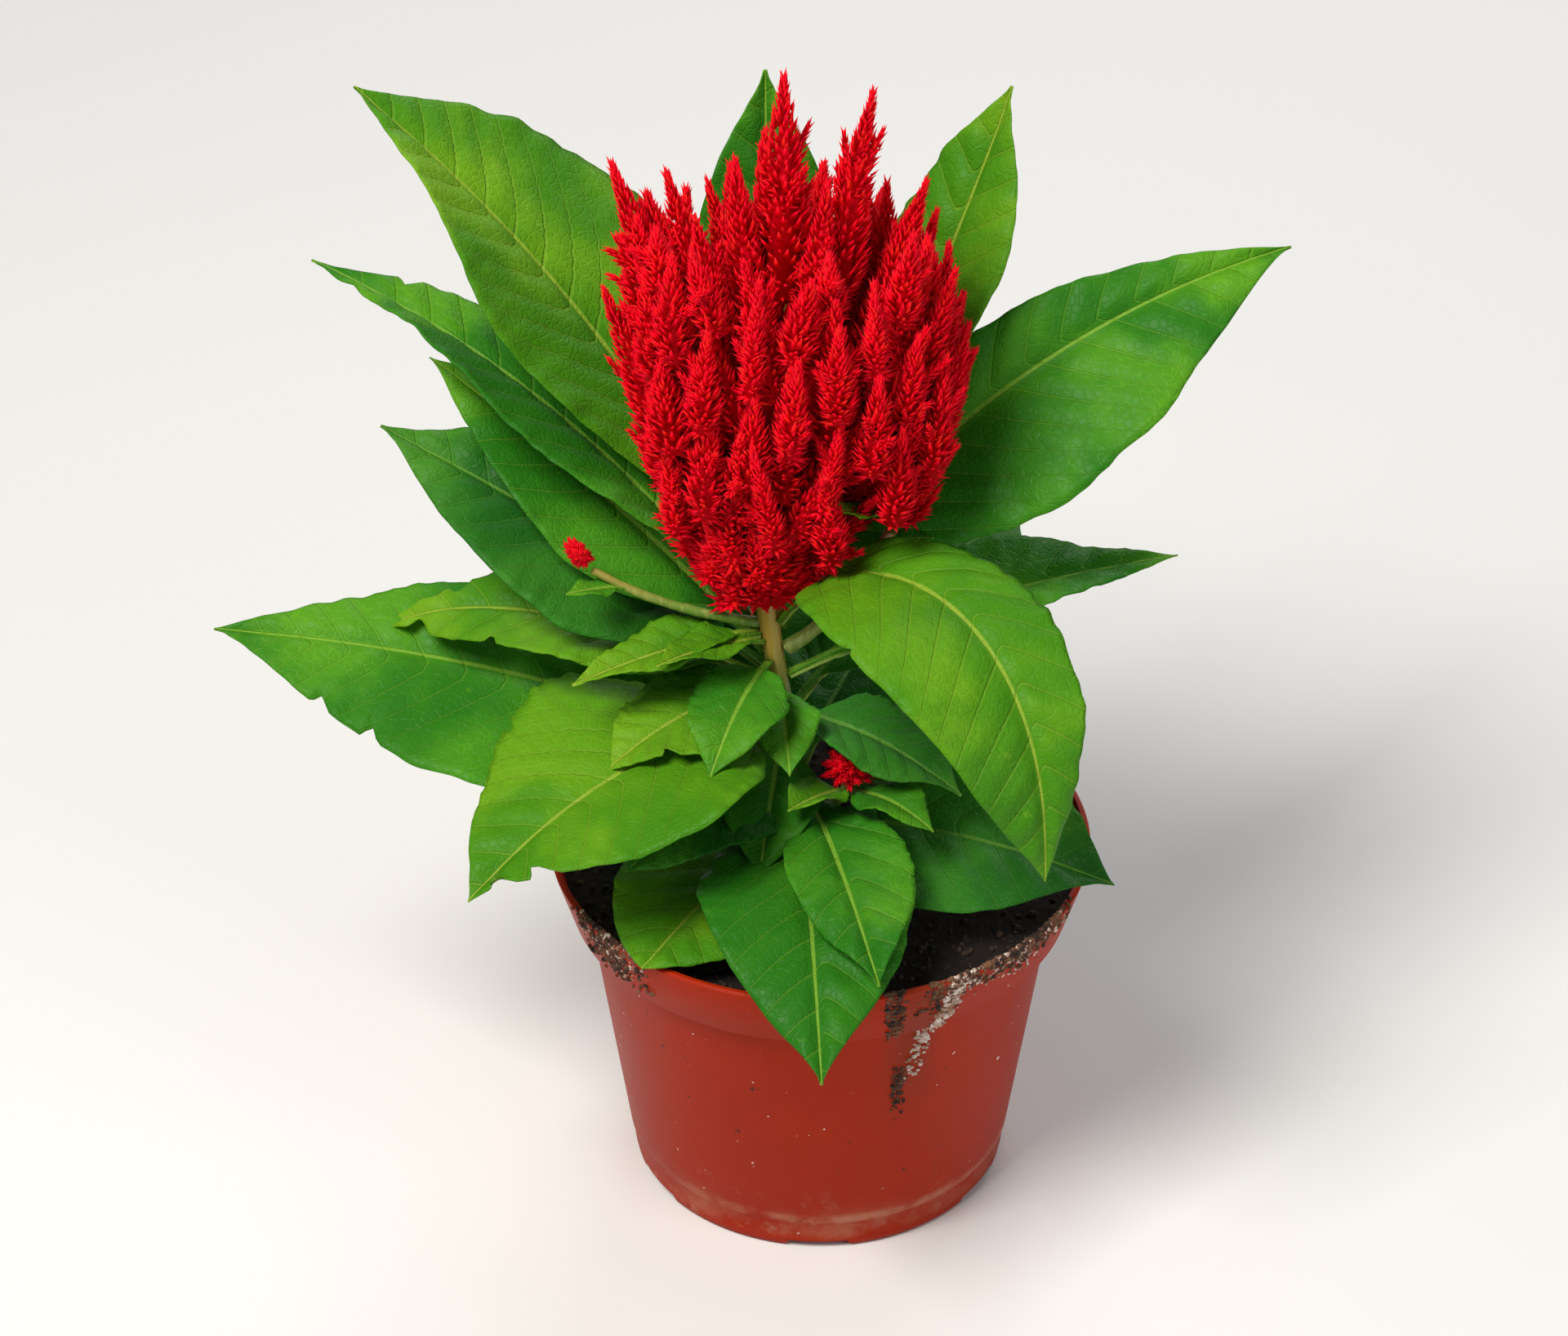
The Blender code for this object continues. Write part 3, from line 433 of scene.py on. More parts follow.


# Leaves. Soft lance-shaped blades on short petioles: a pale midrib in a channel, side veins that run up towards the
# tip, quilted flesh between them, a wavy edge, and a paler underside. Some are torn or curled.
LEAF_KEYS = ("height", "bearing", "length", "width", "rise", "droop", "sway", "roll", "fold", "left", "right",
             "petiole", "base", "tip")
LEAVES = {
    "leaf_right_broad": (142, -26, 122, 68, 62, 156, -50, 0, 6, 0.5, 0.88, 0.15, 0.62, 1.10),
    "leaf_right_low": (127, 14, 90, 32, 22, 22, 0, 0, 10, 1, 1, 0.12, 0.85, 1.25),
    "leaf_right_folded": (138.5, 26, 140, 52, 54, 42, -14, 40, 12, 0.5, 1.15, 0.12, 1.10, 1.25),
    "leaf_right_tall": (140.6, 42, 125, 36, 52, -12, 0, 0, 8, 0.9, 1, 0.16, 1.60, 1.20),
    "leaf_back_tall": (136, 92, 122, 32, 54, -22, 0, 0, 10, 1, 1, 0.16, 1.60, 1.20),
    "leaf_left_tall": (140, 126, 146, 62, 48, 10, 42, 0, 8, 0.85, 1.15, 0.15, 1.10, 1.20),
    "leaf_left_narrow": (137, 152, 130, 34, 50, 40, 2, 8, 10, 1, 1, 0.12, 0.85, 1.25),
    "leaf_left_upper": (132.5, 153, 97, 38, 40, 16, 0, -20, 8, 1, 1, 0.12, 0.85, 1.25),
    "leaf_left_dark": (128.5, 160, 99, 46, 32, 14, 0, -20, 8, 1, 1, 0.12, 0.85, 1.25),
    "leaf_left_curled": (125.5, 169, 92, 34, 22, 36, 0, -10, 10, 1, 0.7, 0.12, 0.85, 1.25),
    "leaf_left_long": (104, 174, 128, 66, 22, 22, 0, -22, 6, 1, 0.62, 0.12, 0.80, 1.20),
    "leaf_front_left_broad": (116, -143, 86, 62, 17, 50, 4, 0, 6, 1, 1, 0.10, 0.75, 1.20),
    "leaf_front_left_strip": (139, -156, 44, 16, 10, 26, 0, 0, 14, 1, 1, 0.12, 0.85, 1.25),
    "leaf_front_left_waved": (126.5, -144, 44, 32, 8, 32, 0, 0, 2, 1, 0.9, 0.12, 0.85, 1.25),
    "leaf_front_left_lower": (106, -134, 48, 44, -2, 12, 0, 0, 6, 0.85, 1, 0.10, 0.80, 1.20),
    "leaf_front_round": (89, -122, 60, 42, 3, 12, 0, 0, 4, 1, 1, 0.12, 0.70, 0.80),
    "leaf_front_hanging": (94.5, -86, 89, 46, 18, 52, 0, 0, 3, 1, 1, 0.12, 0.85, 1.25),
    "leaf_front_small": (103.5, -74, 72, 30, 6, 24, -2, 0, 5, 1, 0.8, 0.14, 1.20, 1.25),
    "leaf_front_right_lower": (88, -24, 73, 52, 16, 26, 0, 14, 8, 1, 1, 0.10, 0.85, 1.25),
    "leaf_right_inner": (118, -30, 44, 24, 10, 40, 0, 0, 4, 1, 1, 0.12, 0.85, 1.25),
    "leaf_back_right": (116, 52, 88, 44, 26, 44, 0, 0, 8, 1, 1, 0.12, 0.85, 1.25),
    "leaf_back": (118, 100, 96, 48, 34, 50, 0, 0, 8, 1, 1, 0.12, 0.85, 1.25),
    "leaf_back_left": (112, 130, 84, 42, 30, 40, 0, 0, 8, 1, 1, 0.12, 0.85, 1.25),
    "leaf_back_low": (98, 70, 72, 38, 18, 30, 0, 0, 8, 1, 1, 0.12, 0.85, 1.25),
}
BLADE_THICKNESS = 0.4 * MM
PETIOLE_HALF_WIDTH = 0.9 * MM
VEIN_SPACING = 9.0
# Tears and teeth in the edge: side of the blade, place along it, half-length and depth as shares.
LEAF_TEARS = {
    "leaf_front_left_broad": ((1, 0.82, 0.03, 0.45), (1, 0.91, 0.028, 0.75), (-1, 0.55, 0.02, 0.10)),
    "leaf_left_long": ((1, 0.65, 0.018, 0.16), (1, 0.76, 0.018, 0.18), (-1, 0.42, 0.02, 0.08)),
    "leaf_left_curled": ((1, 0.84, 0.035, 0.70), (1, 0.60, 0.02, 0.25), (-1, 0.74, 0.03, 0.45)),
    "leaf_left_narrow": ((1, 0.90, 0.03, 0.60), (-1, 0.82, 0.02, 0.35)),
    "leaf_front_left_waved": ((1, 0.70, 0.04, 0.30),),
    "leaf_right_broad": ((-1, 0.36, 0.015, 0.06),),
}
# The greens are partly each leaf's own tone and partly painted light and shade: fresh is lighter and yellower for
# leaves in the light, deep is darker for inner, back and low leaves in shade, and the rest are mid.
LEAF_TONES_LIT_AND_SHADED = {
    "fresh": ("leaf_right_broad", "leaf_front_left_broad", "leaf_front_left_strip", "leaf_front_left_waved",
              "leaf_left_tall", "leaf_right_tall", "leaf_front_round", "leaf_left_curled"),
    "deep": ("leaf_left_dark", "leaf_front_right_lower", "leaf_right_inner", "leaf_back_low", "leaf_back_right",
             "leaf_front_left_lower", "leaf_back_left", "leaf_back"),
}
EXTRA_BEND = {"leaf_left_curled": (0.55, -2.4), "leaf_right_folded": (0.86, -1.5), "leaf_front_left_waved": (0.6, -1.2)}


def direction(bearing, pitch):
    flat = math.cos(pitch)
    return Vector((flat * math.cos(bearing), flat * math.sin(bearing), math.sin(pitch)))


def midrib(leaf, start, shares, bend):
    """Points and frames (along, left, up) of the midrib at the given shares of the leaf's length."""
    point = start.copy()
    turned = [math.radians(leaf[key]) for key in ("bearing", "rise", "droop", "sway", "roll")]
    bearing, rise, droop, sway, roll = turned
    frames = []
    last = 0.0
    for share in shares:
        for k in range(4):
            middle = last + (share - last) * (k + 0.5) / 4
            step = (share - last) / 4 * leaf["length"]
            extra = bend[1] * max(0.0, middle - bend[0]) ** 2
            point = point + direction(bearing + sway * middle, rise - droop * middle + extra) * step
        last = share
        turn = bearing + sway * share
        along = direction(turn, rise - droop * share + bend[1] * max(0.0, share - bend[0]) ** 2)
        flat_left = Vector((-math.sin(turn), math.cos(turn), 0.0))
        flat_up = along.cross(flat_left)
        left = flat_left * math.cos(roll) + flat_up * math.sin(roll)
        up = flat_up * math.cos(roll) - flat_left * math.sin(roll)
        frames.append((point.copy(), along, left, up))
    return frames


def half_width(leaf, share):
    """Half the blade's width at a share of the leaf's length: 0 on the petiole and at the tip."""
    blade = (share - leaf["petiole"]) / (1.0 - leaf["petiole"])
    if blade <= 0.0 or blade >= 1.0:
        return 0.0
    widest = leaf["base"] / (leaf["base"] + leaf["tip"])
    return 0.5 * leaf["width"] * (blade / widest) ** leaf["base"] * ((1 - blade) / (1 - widest)) ** leaf["tip"]


def torn_share(tears, side, blade):
    """How much of the blade's reach is left beside a tear or a tooth."""
    left = 1.0
    for tear_side, place, half, depth in tears:
        if tear_side * side <= 0:
            continue
        near = 1.0 - abs(blade - place) / half
        if near > 0.0:
            left = min(left, 1.0 - depth * near)
    return left


def leaf_blade(leaf, start, phase, rows, columns, tears=(), bend=(1.0, 0.0)):
    """The open upper face of a leaf: a grid laid along the midrib, quilted between its side veins.

    The attribute "blade" keeps each point's vein number, distance from the midrib (mm) and share of the length.
    """
    bm = bmesh.new()
    bmesh.ops.create_grid(bm, x_segments=columns, y_segments=rows, size=1.0)
    layer = bm.verts.layers.float_vector.new("blade")
    shares = [leaf["petiole"] * k / 4 for k in range(4)]
    left_rows = rows - 4
    shares += [leaf["petiole"] + (1 - leaf["petiole"]) * k / left_rows for k in range(left_rows + 1)]
    frames = midrib(leaf, start, shares, bend)
    fold = math.radians(leaf["fold"])
    size = min(1.0, leaf["length"] / (70 * MM))
    weights = []
    for vert in bm.verts:
        row = round((vert.co.y + 1.0) / 2.0 * rows)
        side = vert.co.x
        share = shares[row]
        point, along, left, up = frames[row]
        blade = max(0.0, (share - leaf["petiole"]) / (1 - leaf["petiole"]))
        width = half_width(leaf, share)
        reach = width * (leaf["left"] if side > 0 else leaf["right"])
        ripple = math.sin(2 * math.pi * 1.75 * blade + phase + (0.9 if side > 0 else 0.0))
        wave = 1.5 * MM * ripple * side * side * min(1.0, width / (8 * MM))
        rough = noise.noise(Vector((phase * 7.0 + (3.0 if side > 0 else 0.0), blade * 9.0, 0.5)))
        fine = noise.noise(Vector((phase * 3.0 + (5.0 if side > 0 else 0.0), blade * 31.0, 0.2)))
        edge = 1.0 + (0.05 * rough + 0.022 * fine) * abs(side) ** 3
        edge *= 1.0 - (1.0 - torn_share(tears, side, blade)) * abs(side) ** 1.5
        reach = max(reach * edge, PETIOLE_HALF_WIDTH * (1.0 - 0.85 * max(0.0, blade - 0.9) * 10.0))
        across = side * reach
        # Side veins leave the midrib at a slant and bend towards the tip near the edge.
        slant = 0.75 * abs(across) / MM + 0.012 * (abs(across) / MM) ** 2
        shift = 0.5 * min(1.0, max(0.0, side * 8.0))
        vein = (share * leaf["length"] / MM - slant) / (VEIN_SPACING * size) + shift
        swell = abs(math.sin(math.pi * vein)) ** 0.8 * min(1.0, abs(across) / (3 * MM)) * (1.0 - side ** 4)
        channel = math.exp(-((across / (1.3 * MM)) ** 2))
        crimp = noise.noise(Vector((across * 85.0, share * leaf["length"] * 85.0, phase)))
        lift = abs(side) * reach * math.sin(fold) + wave
        lift += (1.15 * swell * size - 0.55 * channel * min(1.0, width / (6 * MM)) + 0.9 * crimp * abs(side)) * MM
        lift += 0.9 * MM * fine * abs(side) ** 3 * min(1.0, width / (10 * MM))
        vert.co = point + left * (across * math.cos(fold)) + up * lift
        vert[layer] = (vein, across / MM, share)
        rib = math.exp(-((across / (1.0 * MM)) ** 2)) * max(0.0, 1.0 - share) ** 0.7
        weights.append(0.2 + 0.8 * rib * (1.0 if width > 0.5 * MM else 0.85))
    bmesh.ops.reverse_faces(bm, faces=bm.faces)
    return bm, weights


def add_leaf(bm, weights, name, materials):
    """Gives a blade its thickness, thick along the midrib and thin at the edge, and adds it."""
    leaf = add_piece(bm, name, materials, 180.0)
    group = leaf.vertex_groups.new(name="thickness")
    for index, weight in enumerate(weights):
        group.add([index], weight, "REPLACE")
    solid = leaf.modifiers.new("thickness", "SOLIDIFY")
    solid.thickness = BLADE_THICKNESS * 5.0
    solid.offset = -1.0
    solid.vertex_group = "thickness"
    solid.material_offset = 1
    solid.material_offset_rim = 0
    return leaf


def make_vein_group():
    """Node group: masks of a leaf's midrib, side veins and net, and the height that they give the surface."""
    group = bpy.data.node_groups.new("leaf_veins", "ShaderNodeTree")
    face = group.interface
    face.new_socket("Blade", in_out="INPUT", socket_type="NodeSocketVector")
    face.new_socket("Position", in_out="INPUT", socket_type="NodeSocketVector")
    for label in ("Midrib", "Side veins", "Net", "Height"):
        face.new_socket(label, in_out="OUTPUT", socket_type="NodeSocketFloat")
    start = group.nodes.new("NodeGroupInput")
    parts = add_node(group, "ShaderNodeSeparateXYZ", {0: start.outputs["Blade"]}).outputs
    away = calculate(group, "ABSOLUTE", parts["Y"])
    # The midrib narrows towards the tip.
    narrow = calculate(group, "MULTIPLY_ADD", parts["Z"], -0.75, 1.05)
    midrib_mask = smooth_range(group, calculate(group, "DIVIDE", away, narrow), 1.1, 0.45)
    to_vein = calculate(group, "MULTIPLY", calculate(group, "PINGPONG", parts["X"], 0.5), 9.0)
    thin = calculate(group, "MULTIPLY_ADD", away, -0.012, 0.55)
    side_mask = smooth_range(group, calculate(group, "DIVIDE", to_vein, thin), 1.15, 0.35)
    net = add_node(group, "ShaderNodeTexVoronoi", {"Vector": start.outputs["Position"], "Scale": 520.0},
                   feature="DISTANCE_TO_EDGE")
    net_mask = smooth_range(group, net.outputs["Distance"], 0.13, 0.02)
    height = calculate(group, "MULTIPLY_ADD", midrib_mask, -1.0, calculate(group, "MULTIPLY", side_mask, -0.8))
    height = calculate(group, "MULTIPLY_ADD", net_mask, -0.28, height)
    end = group.nodes.new("NodeGroupOutput")
    for label, value in (("Midrib", midrib_mask), ("Side veins", side_mask), ("Net", net_mask), ("Height", height)):
        group.links.new(value, end.inputs[label])
    return group


leaf_veins = make_vein_group()


def make_leaf_material(name, deep, mid, light, vein, relief, gloss, glow):
    """Leaf skin: mottled green, paler veins, lit through from behind."""
    material, tree, shader = new_material(name)
    place = add_node(tree, "ShaderNodeTexCoord").outputs["Object"]
    blade = add_node(tree, "ShaderNodeAttribute", attribute_name="blade").outputs["Vector"]
    veins = add_node(tree, "ShaderNodeGroup", node_tree=leaf_veins)
    tree.links.new(blade, veins.inputs["Blade"])
    tree.links.new(place, veins.inputs["Position"])
    patch = add_node(tree, "ShaderNodeTexNoise", {"Vector": place, "Scale": 28.0, "Detail": 5.0})
    colour = mix_colour(tree, smooth_range(tree, patch.outputs["Fac"], 0.36, 0.64), deep, mid)
    share = add_node(tree, "ShaderNodeSeparateXYZ", {0: blade}).outputs["Z"]
    pale = calculate(tree, "MULTIPLY", smooth_range(tree, share, 0.35, 1.0),
                     smooth_range(tree, patch.outputs["Fac"], 0.45, 0.60))
    colour = mix_colour(tree, calculate(tree, "MULTIPLY", pale, 0.6), colour, light)
    between = calculate(tree, "SUBTRACT", 1.0, veins.outputs["Net"])
    colour = mix_colour(tree, calculate(tree, "MULTIPLY", between, 0.22), colour, deep)
    spots = add_speckle(tree, place, 160.0, 0.33, 0.05)
    colour = mix_colour(tree, calculate(tree, "MULTIPLY", spots, 0.30), colour, light)
    colour = mix_colour(tree, calculate(tree, "MULTIPLY", veins.outputs["Side veins"], 0.16), colour, vein)
    colour = mix_colour(tree, calculate(tree, "MULTIPLY", veins.outputs["Midrib"], 0.75), colour, vein)
    tree.links.new(colour, shader.inputs["Base Color"])
    rough = calculate(tree, "MULTIPLY_ADD", patch.outputs["Fac"], 0.16, gloss)
    tree.links.new(rough, shader.inputs["Roughness"])
    shader.inputs["Specular IOR Level"].default_value = 0.14
    height = calculate(tree, "MULTIPLY_ADD", patch.outputs["Fac"], 0.4, veins.outputs["Height"])
    bump = add_node(tree, "ShaderNodeBump", {"Height": height, "Strength": 0.6, "Distance": relief * MM})
    tree.links.new(bump.outputs["Normal"], shader.inputs["Normal"])
    lit = mix_colour(tree, calculate(tree, "MULTIPLY", patch.outputs["Fac"], 0.3), colour, light)
    through = add_node(tree, "ShaderNodeBsdfTranslucent", {"Color": lit})
    blend = add_node(tree, "ShaderNodeMixShader", {0: glow, 1: shader.outputs[0], 2: through.outputs[0]})
    tree.links.new(blend.outputs[0], tree.nodes["Material Output"].inputs["Surface"])
    return material


# Fresh, mid and deep greens: partly the leaves' own tones, partly painted light on the fresh and painted shade on the
# deep.
leaf_skins_lit_and_shaded = {
    "fresh": make_leaf_material("leaf_fresh_partly_lit", (0.070, 0.290, 0.008), (0.155, 0.420, 0.012), (0.300, 0.540, 0.020),
                                (0.420, 0.580, 0.060), 0.5, 0.36, 0.30),
    "mid": make_leaf_material("leaf_mid", (0.028, 0.200, 0.010), (0.080, 0.345, 0.015), (0.190, 0.480, 0.018),
                              (0.280, 0.540, 0.050), 0.5, 0.34, 0.28),
    "deep": make_leaf_material("leaf_deep_partly_shaded", (0.018, 0.145, 0.012), (0.044, 0.245, 0.018), (0.105, 0.340, 0.024),
                               (0.160, 0.390, 0.050), 0.5, 0.36, 0.26),
}
leaf_under = make_leaf_material("leaf_underside", (0.120, 0.300, 0.025), (0.210, 0.400, 0.040),
                                (0.330, 0.500, 0.060), (0.440, 0.600, 0.130), -0.6, 0.48, 0.30)

for k, (name, values) in enumerate(LEAVES.items()):
    leaf = dict(zip(LEAF_KEYS, values))
    for key in ("height", "length", "width"):
        leaf[key] *= MM
    out = direction(math.radians(leaf["bearing"]), 0.0)
    clear = stem_radius(leaf["height"]) + 0.1 * MM
    start = stem_point(leaf["height"]) + out * clear
    rows = 48 + int(leaf["length"] / MM * 0.35)
    bm, weights = leaf_blade(leaf, start, 0.9 * k, rows, 24, LEAF_TEARS.get(name, ()), EXTRA_BEND.get(name, (1.0, 0.0)))
    tone = next((tone for tone, names in LEAF_TONES_LIT_AND_SHADED.items() if name in names), "mid")
    blade = add_leaf(bm, weights, name + "_blade", [leaf_skins_lit_and_shaded[tone], leaf_under])
    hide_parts(name)


# Side shoots. Thin green stalks that leave the main stem and turn up to a young flower head, each with a few small
# leaves; the one on the right is browner and carries the base of the flower head's right lobe.
SHOOTS = {
    "front_shoot": (91, (6.0, -14.5, 108.1), 1.5, 1.1),
    "right_shoot": (134, (15.0, 0.5, 164.5), 1.6, 1.3),
    "left_shoot": (141, (-48.6, -5.2, 157.4), 1.2, 0.8),
}
SHOOT_LEAVES = (
    ("front_shoot", 0.93, -126, 22, 13, 32, 30),
    ("front_shoot", 0.90, -42, 27, 15, 34, 60),
    ("front_shoot", 0.62, 30, 20, 10, 30, 30),
    ("right_shoot", 0.93, -15, 11, 6, 24, 20),
    ("right_shoot", 0.72, -75, 9, 6, 40, 20),
    ("left_shoot", 0.80, -150, 14, 7, 20, 20),
)


def shoot_path(height, end, foot_radius):
    """Points of a side shoot: from beside the main stem outwards and then up in a bow."""
    centre = stem_point(height * MM)
    end = Vector(end) * MM
    away = Vector((end.x - centre.x, end.y - centre.y, 0.0))
    pitch = math.atan(0.25 * (end.z - centre.z) / (0.55 * away.length))
    clear = stem_radius(height * MM) + foot_radius * MM * math.sin(pitch)
    start = centre + away.normalized() * clear
    corner = start.lerp(end, 0.55)
    corner.z = start.z + 0.25 * (end.z - start.z)
    return [start * (1 - t / 6) ** 2 + corner * (2 * t / 6 * (1 - t / 6)) + end * (t / 6) ** 2 for t in range(7)]


shoot_skins = {
    "front_shoot": make_stalk_material("shoot_skin", (0.120, 0.260, 0.030), (0.330, 0.360, 0.050), 0.095, 0.108),
    "right_shoot": make_stalk_material("stalk_skin", (0.170, 0.240, 0.040), (0.300, 0.110, 0.035), 0.135, 0.160),
    "left_shoot": make_stalk_material("bud_stalk_skin", (0.150, 0.280, 0.035), (0.330, 0.300, 0.050), 0.145, 0.157),
}
for name, (height, end, foot_radius, head_radius) in SHOOTS.items():
    points = shoot_path(height, end, foot_radius)
    radii = [(foot_radius + (head_radius - foot_radius) * k / 6) * MM for k in range(7)]
    shoot = add_piece(stalk(points, radii, 5, 15, 36), name + "_stalk", [shoot_skins[name]])
    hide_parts(name)
    for k, (owner, share, bearing, length, width, rise, droop) in enumerate(SHOOT_LEAVES):
        if owner != name:
            continue
        leaf = dict(zip(LEAF_KEYS, (0, bearing, length * MM, width * MM, rise, droop, 0, 0, 10, 1, 1, 0.12, 0.85, 1.25)))
        knot = int(share * 6)
        foot = points[knot].lerp(points[knot + 1], share * 6 - knot)
        bm, weights = leaf_blade(leaf, foot, 1.3 * k, 34, 14)
        small = add_leaf(bm, weights, name + "_leaf_%d" % k, [leaf_skins_lit_and_shaded["mid" if k else "fresh"], leaf_under])
        small.modifiers["thickness"].thickness = BLADE_THICKNESS * 3.0

# Small leaves that hide the main stem below the flower head, and one under the right lobe on the brown stalk.
NECK_LEAVES = (
    (132, -112, 36, 22, 12, 56, 0, 0, 6, 1, 1, 0.14, 0.85, 1.25),
    (126, -84, 27, 15, 8, 46, 0, 0, 4, 1, 1, 0.14, 0.85, 1.25),
    (137, -140, 30, 13, 26, 30, 0, 0, 8, 1, 1, 0.14, 0.85, 1.25),
    (113, -98, 38, 22, -8, 30, 0, 0, 4, 1, 1, 0.14, 0.85, 1.25),
)
for k, values in enumerate(NECK_LEAVES):
    leaf = dict(zip(LEAF_KEYS, values))
    for key in ("height", "length", "width"):
        leaf[key] *= MM
    start = stem_point(leaf["height"]) + direction(math.radians(leaf["bearing"]), 0.0) * stem_radius(leaf["height"])
    bm, weights = leaf_blade(leaf, start, 2.1 * k + 0.4, 40, 16)
    small = add_leaf(bm, weights, "neck_leaf_%d" % k, [leaf_skins_lit_and_shaded["fresh" if k == 2 else "mid"], leaf_under])
    small.modifiers["thickness"].thickness = BLADE_THICKNESS * 3.0
lobe_path = [Vector(point) * MM for point in ((15, 0.5, 164.5), (15, -4, 169), (13.5, -8, 174), (13, -8, 182))]
lobe_stalk = add_piece(stalk(lobe_path, [1.3 * MM, 1.2 * MM, 1.2 * MM, 1.4 * MM], 5, 15, 24), "lobe_stalk",
                       [shoot_skins["right_shoot"]])
leaf = dict(zip(LEAF_KEYS, (0, 205, 19 * MM, 7 * MM, 26, 20, 0, 0, 10, 1, 1, 0.12, 0.85, 1.25)))
bm, weights = leaf_blade(leaf, Vector((13.5, -8.5, 174.0)) * MM, 0.7, 34, 12)
small = add_leaf(bm, weights, "lobe_leaf", [leaf_skins_lit_and_shaded["fresh"], leaf_under])
small.modifiers["thickness"].thickness = BLADE_THICKNESS * 2.5


# Flower head. A soft upright plume of hundreds of small spikes round one axis: each is a stalk packed with dry
# pointed bracts, saturated red. Painted shade gives the stalks, the feet of the bracts and the hollows between the
# spikes a darker red, and a painted highlight makes the points pinkish.
PLUME_ROWS = (
    (148, -12, 6, 6), (154, -15, 10, 9), (163, -17, 13, 12), (171, -16, 18, 15), (179, -9, 27, 19), (188, -5, 32, 22),
    (200, -4, 35, 24), (215, -6, 37, 25), (230, -8, 35, 24), (245, -10, 30, 20), (256, -10, 20, 14),
)
TALL_TIPS = ((-8, 0, 273), (10, 1, 269), (-18, -2, 255), (-32, 2, 250), (-43, -2, 254), (21, 2, 248),
             (29, -3, 224), (-45, -4, 226), (1, -6, 252), (-26, -8, 245), (-12, 8, 256), (7, 10, 250))
SIDE_SPIKES = 44


def plume_row(height):
    """Centre's X, half-width and half-depth of the flower head at a height (all in mm)."""
    for low, high in zip(PLUME_ROWS, PLUME_ROWS[1:]):
        if height <= high[0]:
            share = (height - low[0]) / (high[0] - low[0])
            return [a + (b - a) * share for a, b in zip(low[1:], high[1:])]
    return list(PLUME_ROWS[-1][1:])


def turn_to(axis):
    """Rotation that lays local Z along the axis."""
    return axis.to_track_quat("Z", "Y").to_matrix().to_4x4()


def add_bract(bm, layer, foot, way, length, width, tint, depth):
    """One pointed bract: a slim cone, broad at its foot."""
    place = Matrix.Translation(foot + way * (length * 0.5)) @ turn_to(way)
    place = place @ Matrix.Diagonal((1.0, 0.65, 1.0, 1.0))
    made = bmesh.ops.create_cone(bm, cap_ends=True, segments=5, radius1=width, radius2=0.0, depth=length,
                                 matrix=place)["verts"]
    for vert in made:
        along = min(1.0, max(0.0, (vert.co - foot).dot(way) / length))
        # Values: a random tint, the share along the bract, and how much of the full red against the painted shade it
        # takes.
        vert[layer] = (tint, along, depth)


def spike(rng, base, tip, radius, count, first=0.0, bract=4.0, depth=1.0):
    """A stalk packed with bracts in a spiral: broad near its foot and drawn out to a sharp point."""
    bm = bmesh.new()
    layer = bm.verts.layers.float_vector.new("bract")
    axis = tip - base
    length = axis.length
    way = axis.normalized()
    side = way.cross(Vector((0.3, 1.0, 0.2))).normalized()
    other = way.cross(side)
    core = Matrix.Translation(base + axis * 0.44) @ turn_to(way)
    made = bmesh.ops.create_cone(bm, cap_ends=True, segments=9, radius1=radius * 0.48, radius2=radius * 0.05,
                                 depth=length * 0.88, matrix=core)["verts"]
    # The stalk takes mostly the darker red of the painted shade inside the spike.
    for vert in made:
        vert[layer] = (0.3, 0.3, 0.3)
    turn = rng.uniform(0.0, math.tau)
    for k in range(count):
        share = first + (1.0 - first) * ((k + 0.5) / count) ** 1.18
        angle = turn + 2.39996 * k + rng.uniform(-0.3, 0.3)
        around = side * math.cos(angle) + other * math.sin(angle)
        full = radius * (1.15 * (1.0 - share) ** 0.85 + 0.05) * min(1.0, 0.55 + 2.0 * share)
        lean = math.radians(44.0 - 30.0 * share + 45.0 * max(0.0, 1.0 - share / 0.16) + rng.uniform(-12.0, 12.0))
        size = bract * MM * (0.70 + 0.4 * (1.0 - share)) * rng.uniform(0.75, 1.2)
        heading = (way * math.cos(lean) + around * math.sin(lean)).normalized()
        sunk = max(0.0, full - size * math.sin(lean)) * rng.uniform(0.86, 1.0)
        foot = base + axis * (share - size * 0.5 / length) + around * sunk
        add_bract(bm, layer, foot, heading, size, 0.17 * size + 0.10 * MM, rng.random(), depth)
    return bm


def join_into(target, bm):
    """Adds a small bmesh to a larger one."""
    mesh = bpy.data.meshes.new("joined")
    bm.to_mesh(mesh)
    bm.free()
    target.from_mesh(mesh)
    bpy.data.meshes.remove(mesh)
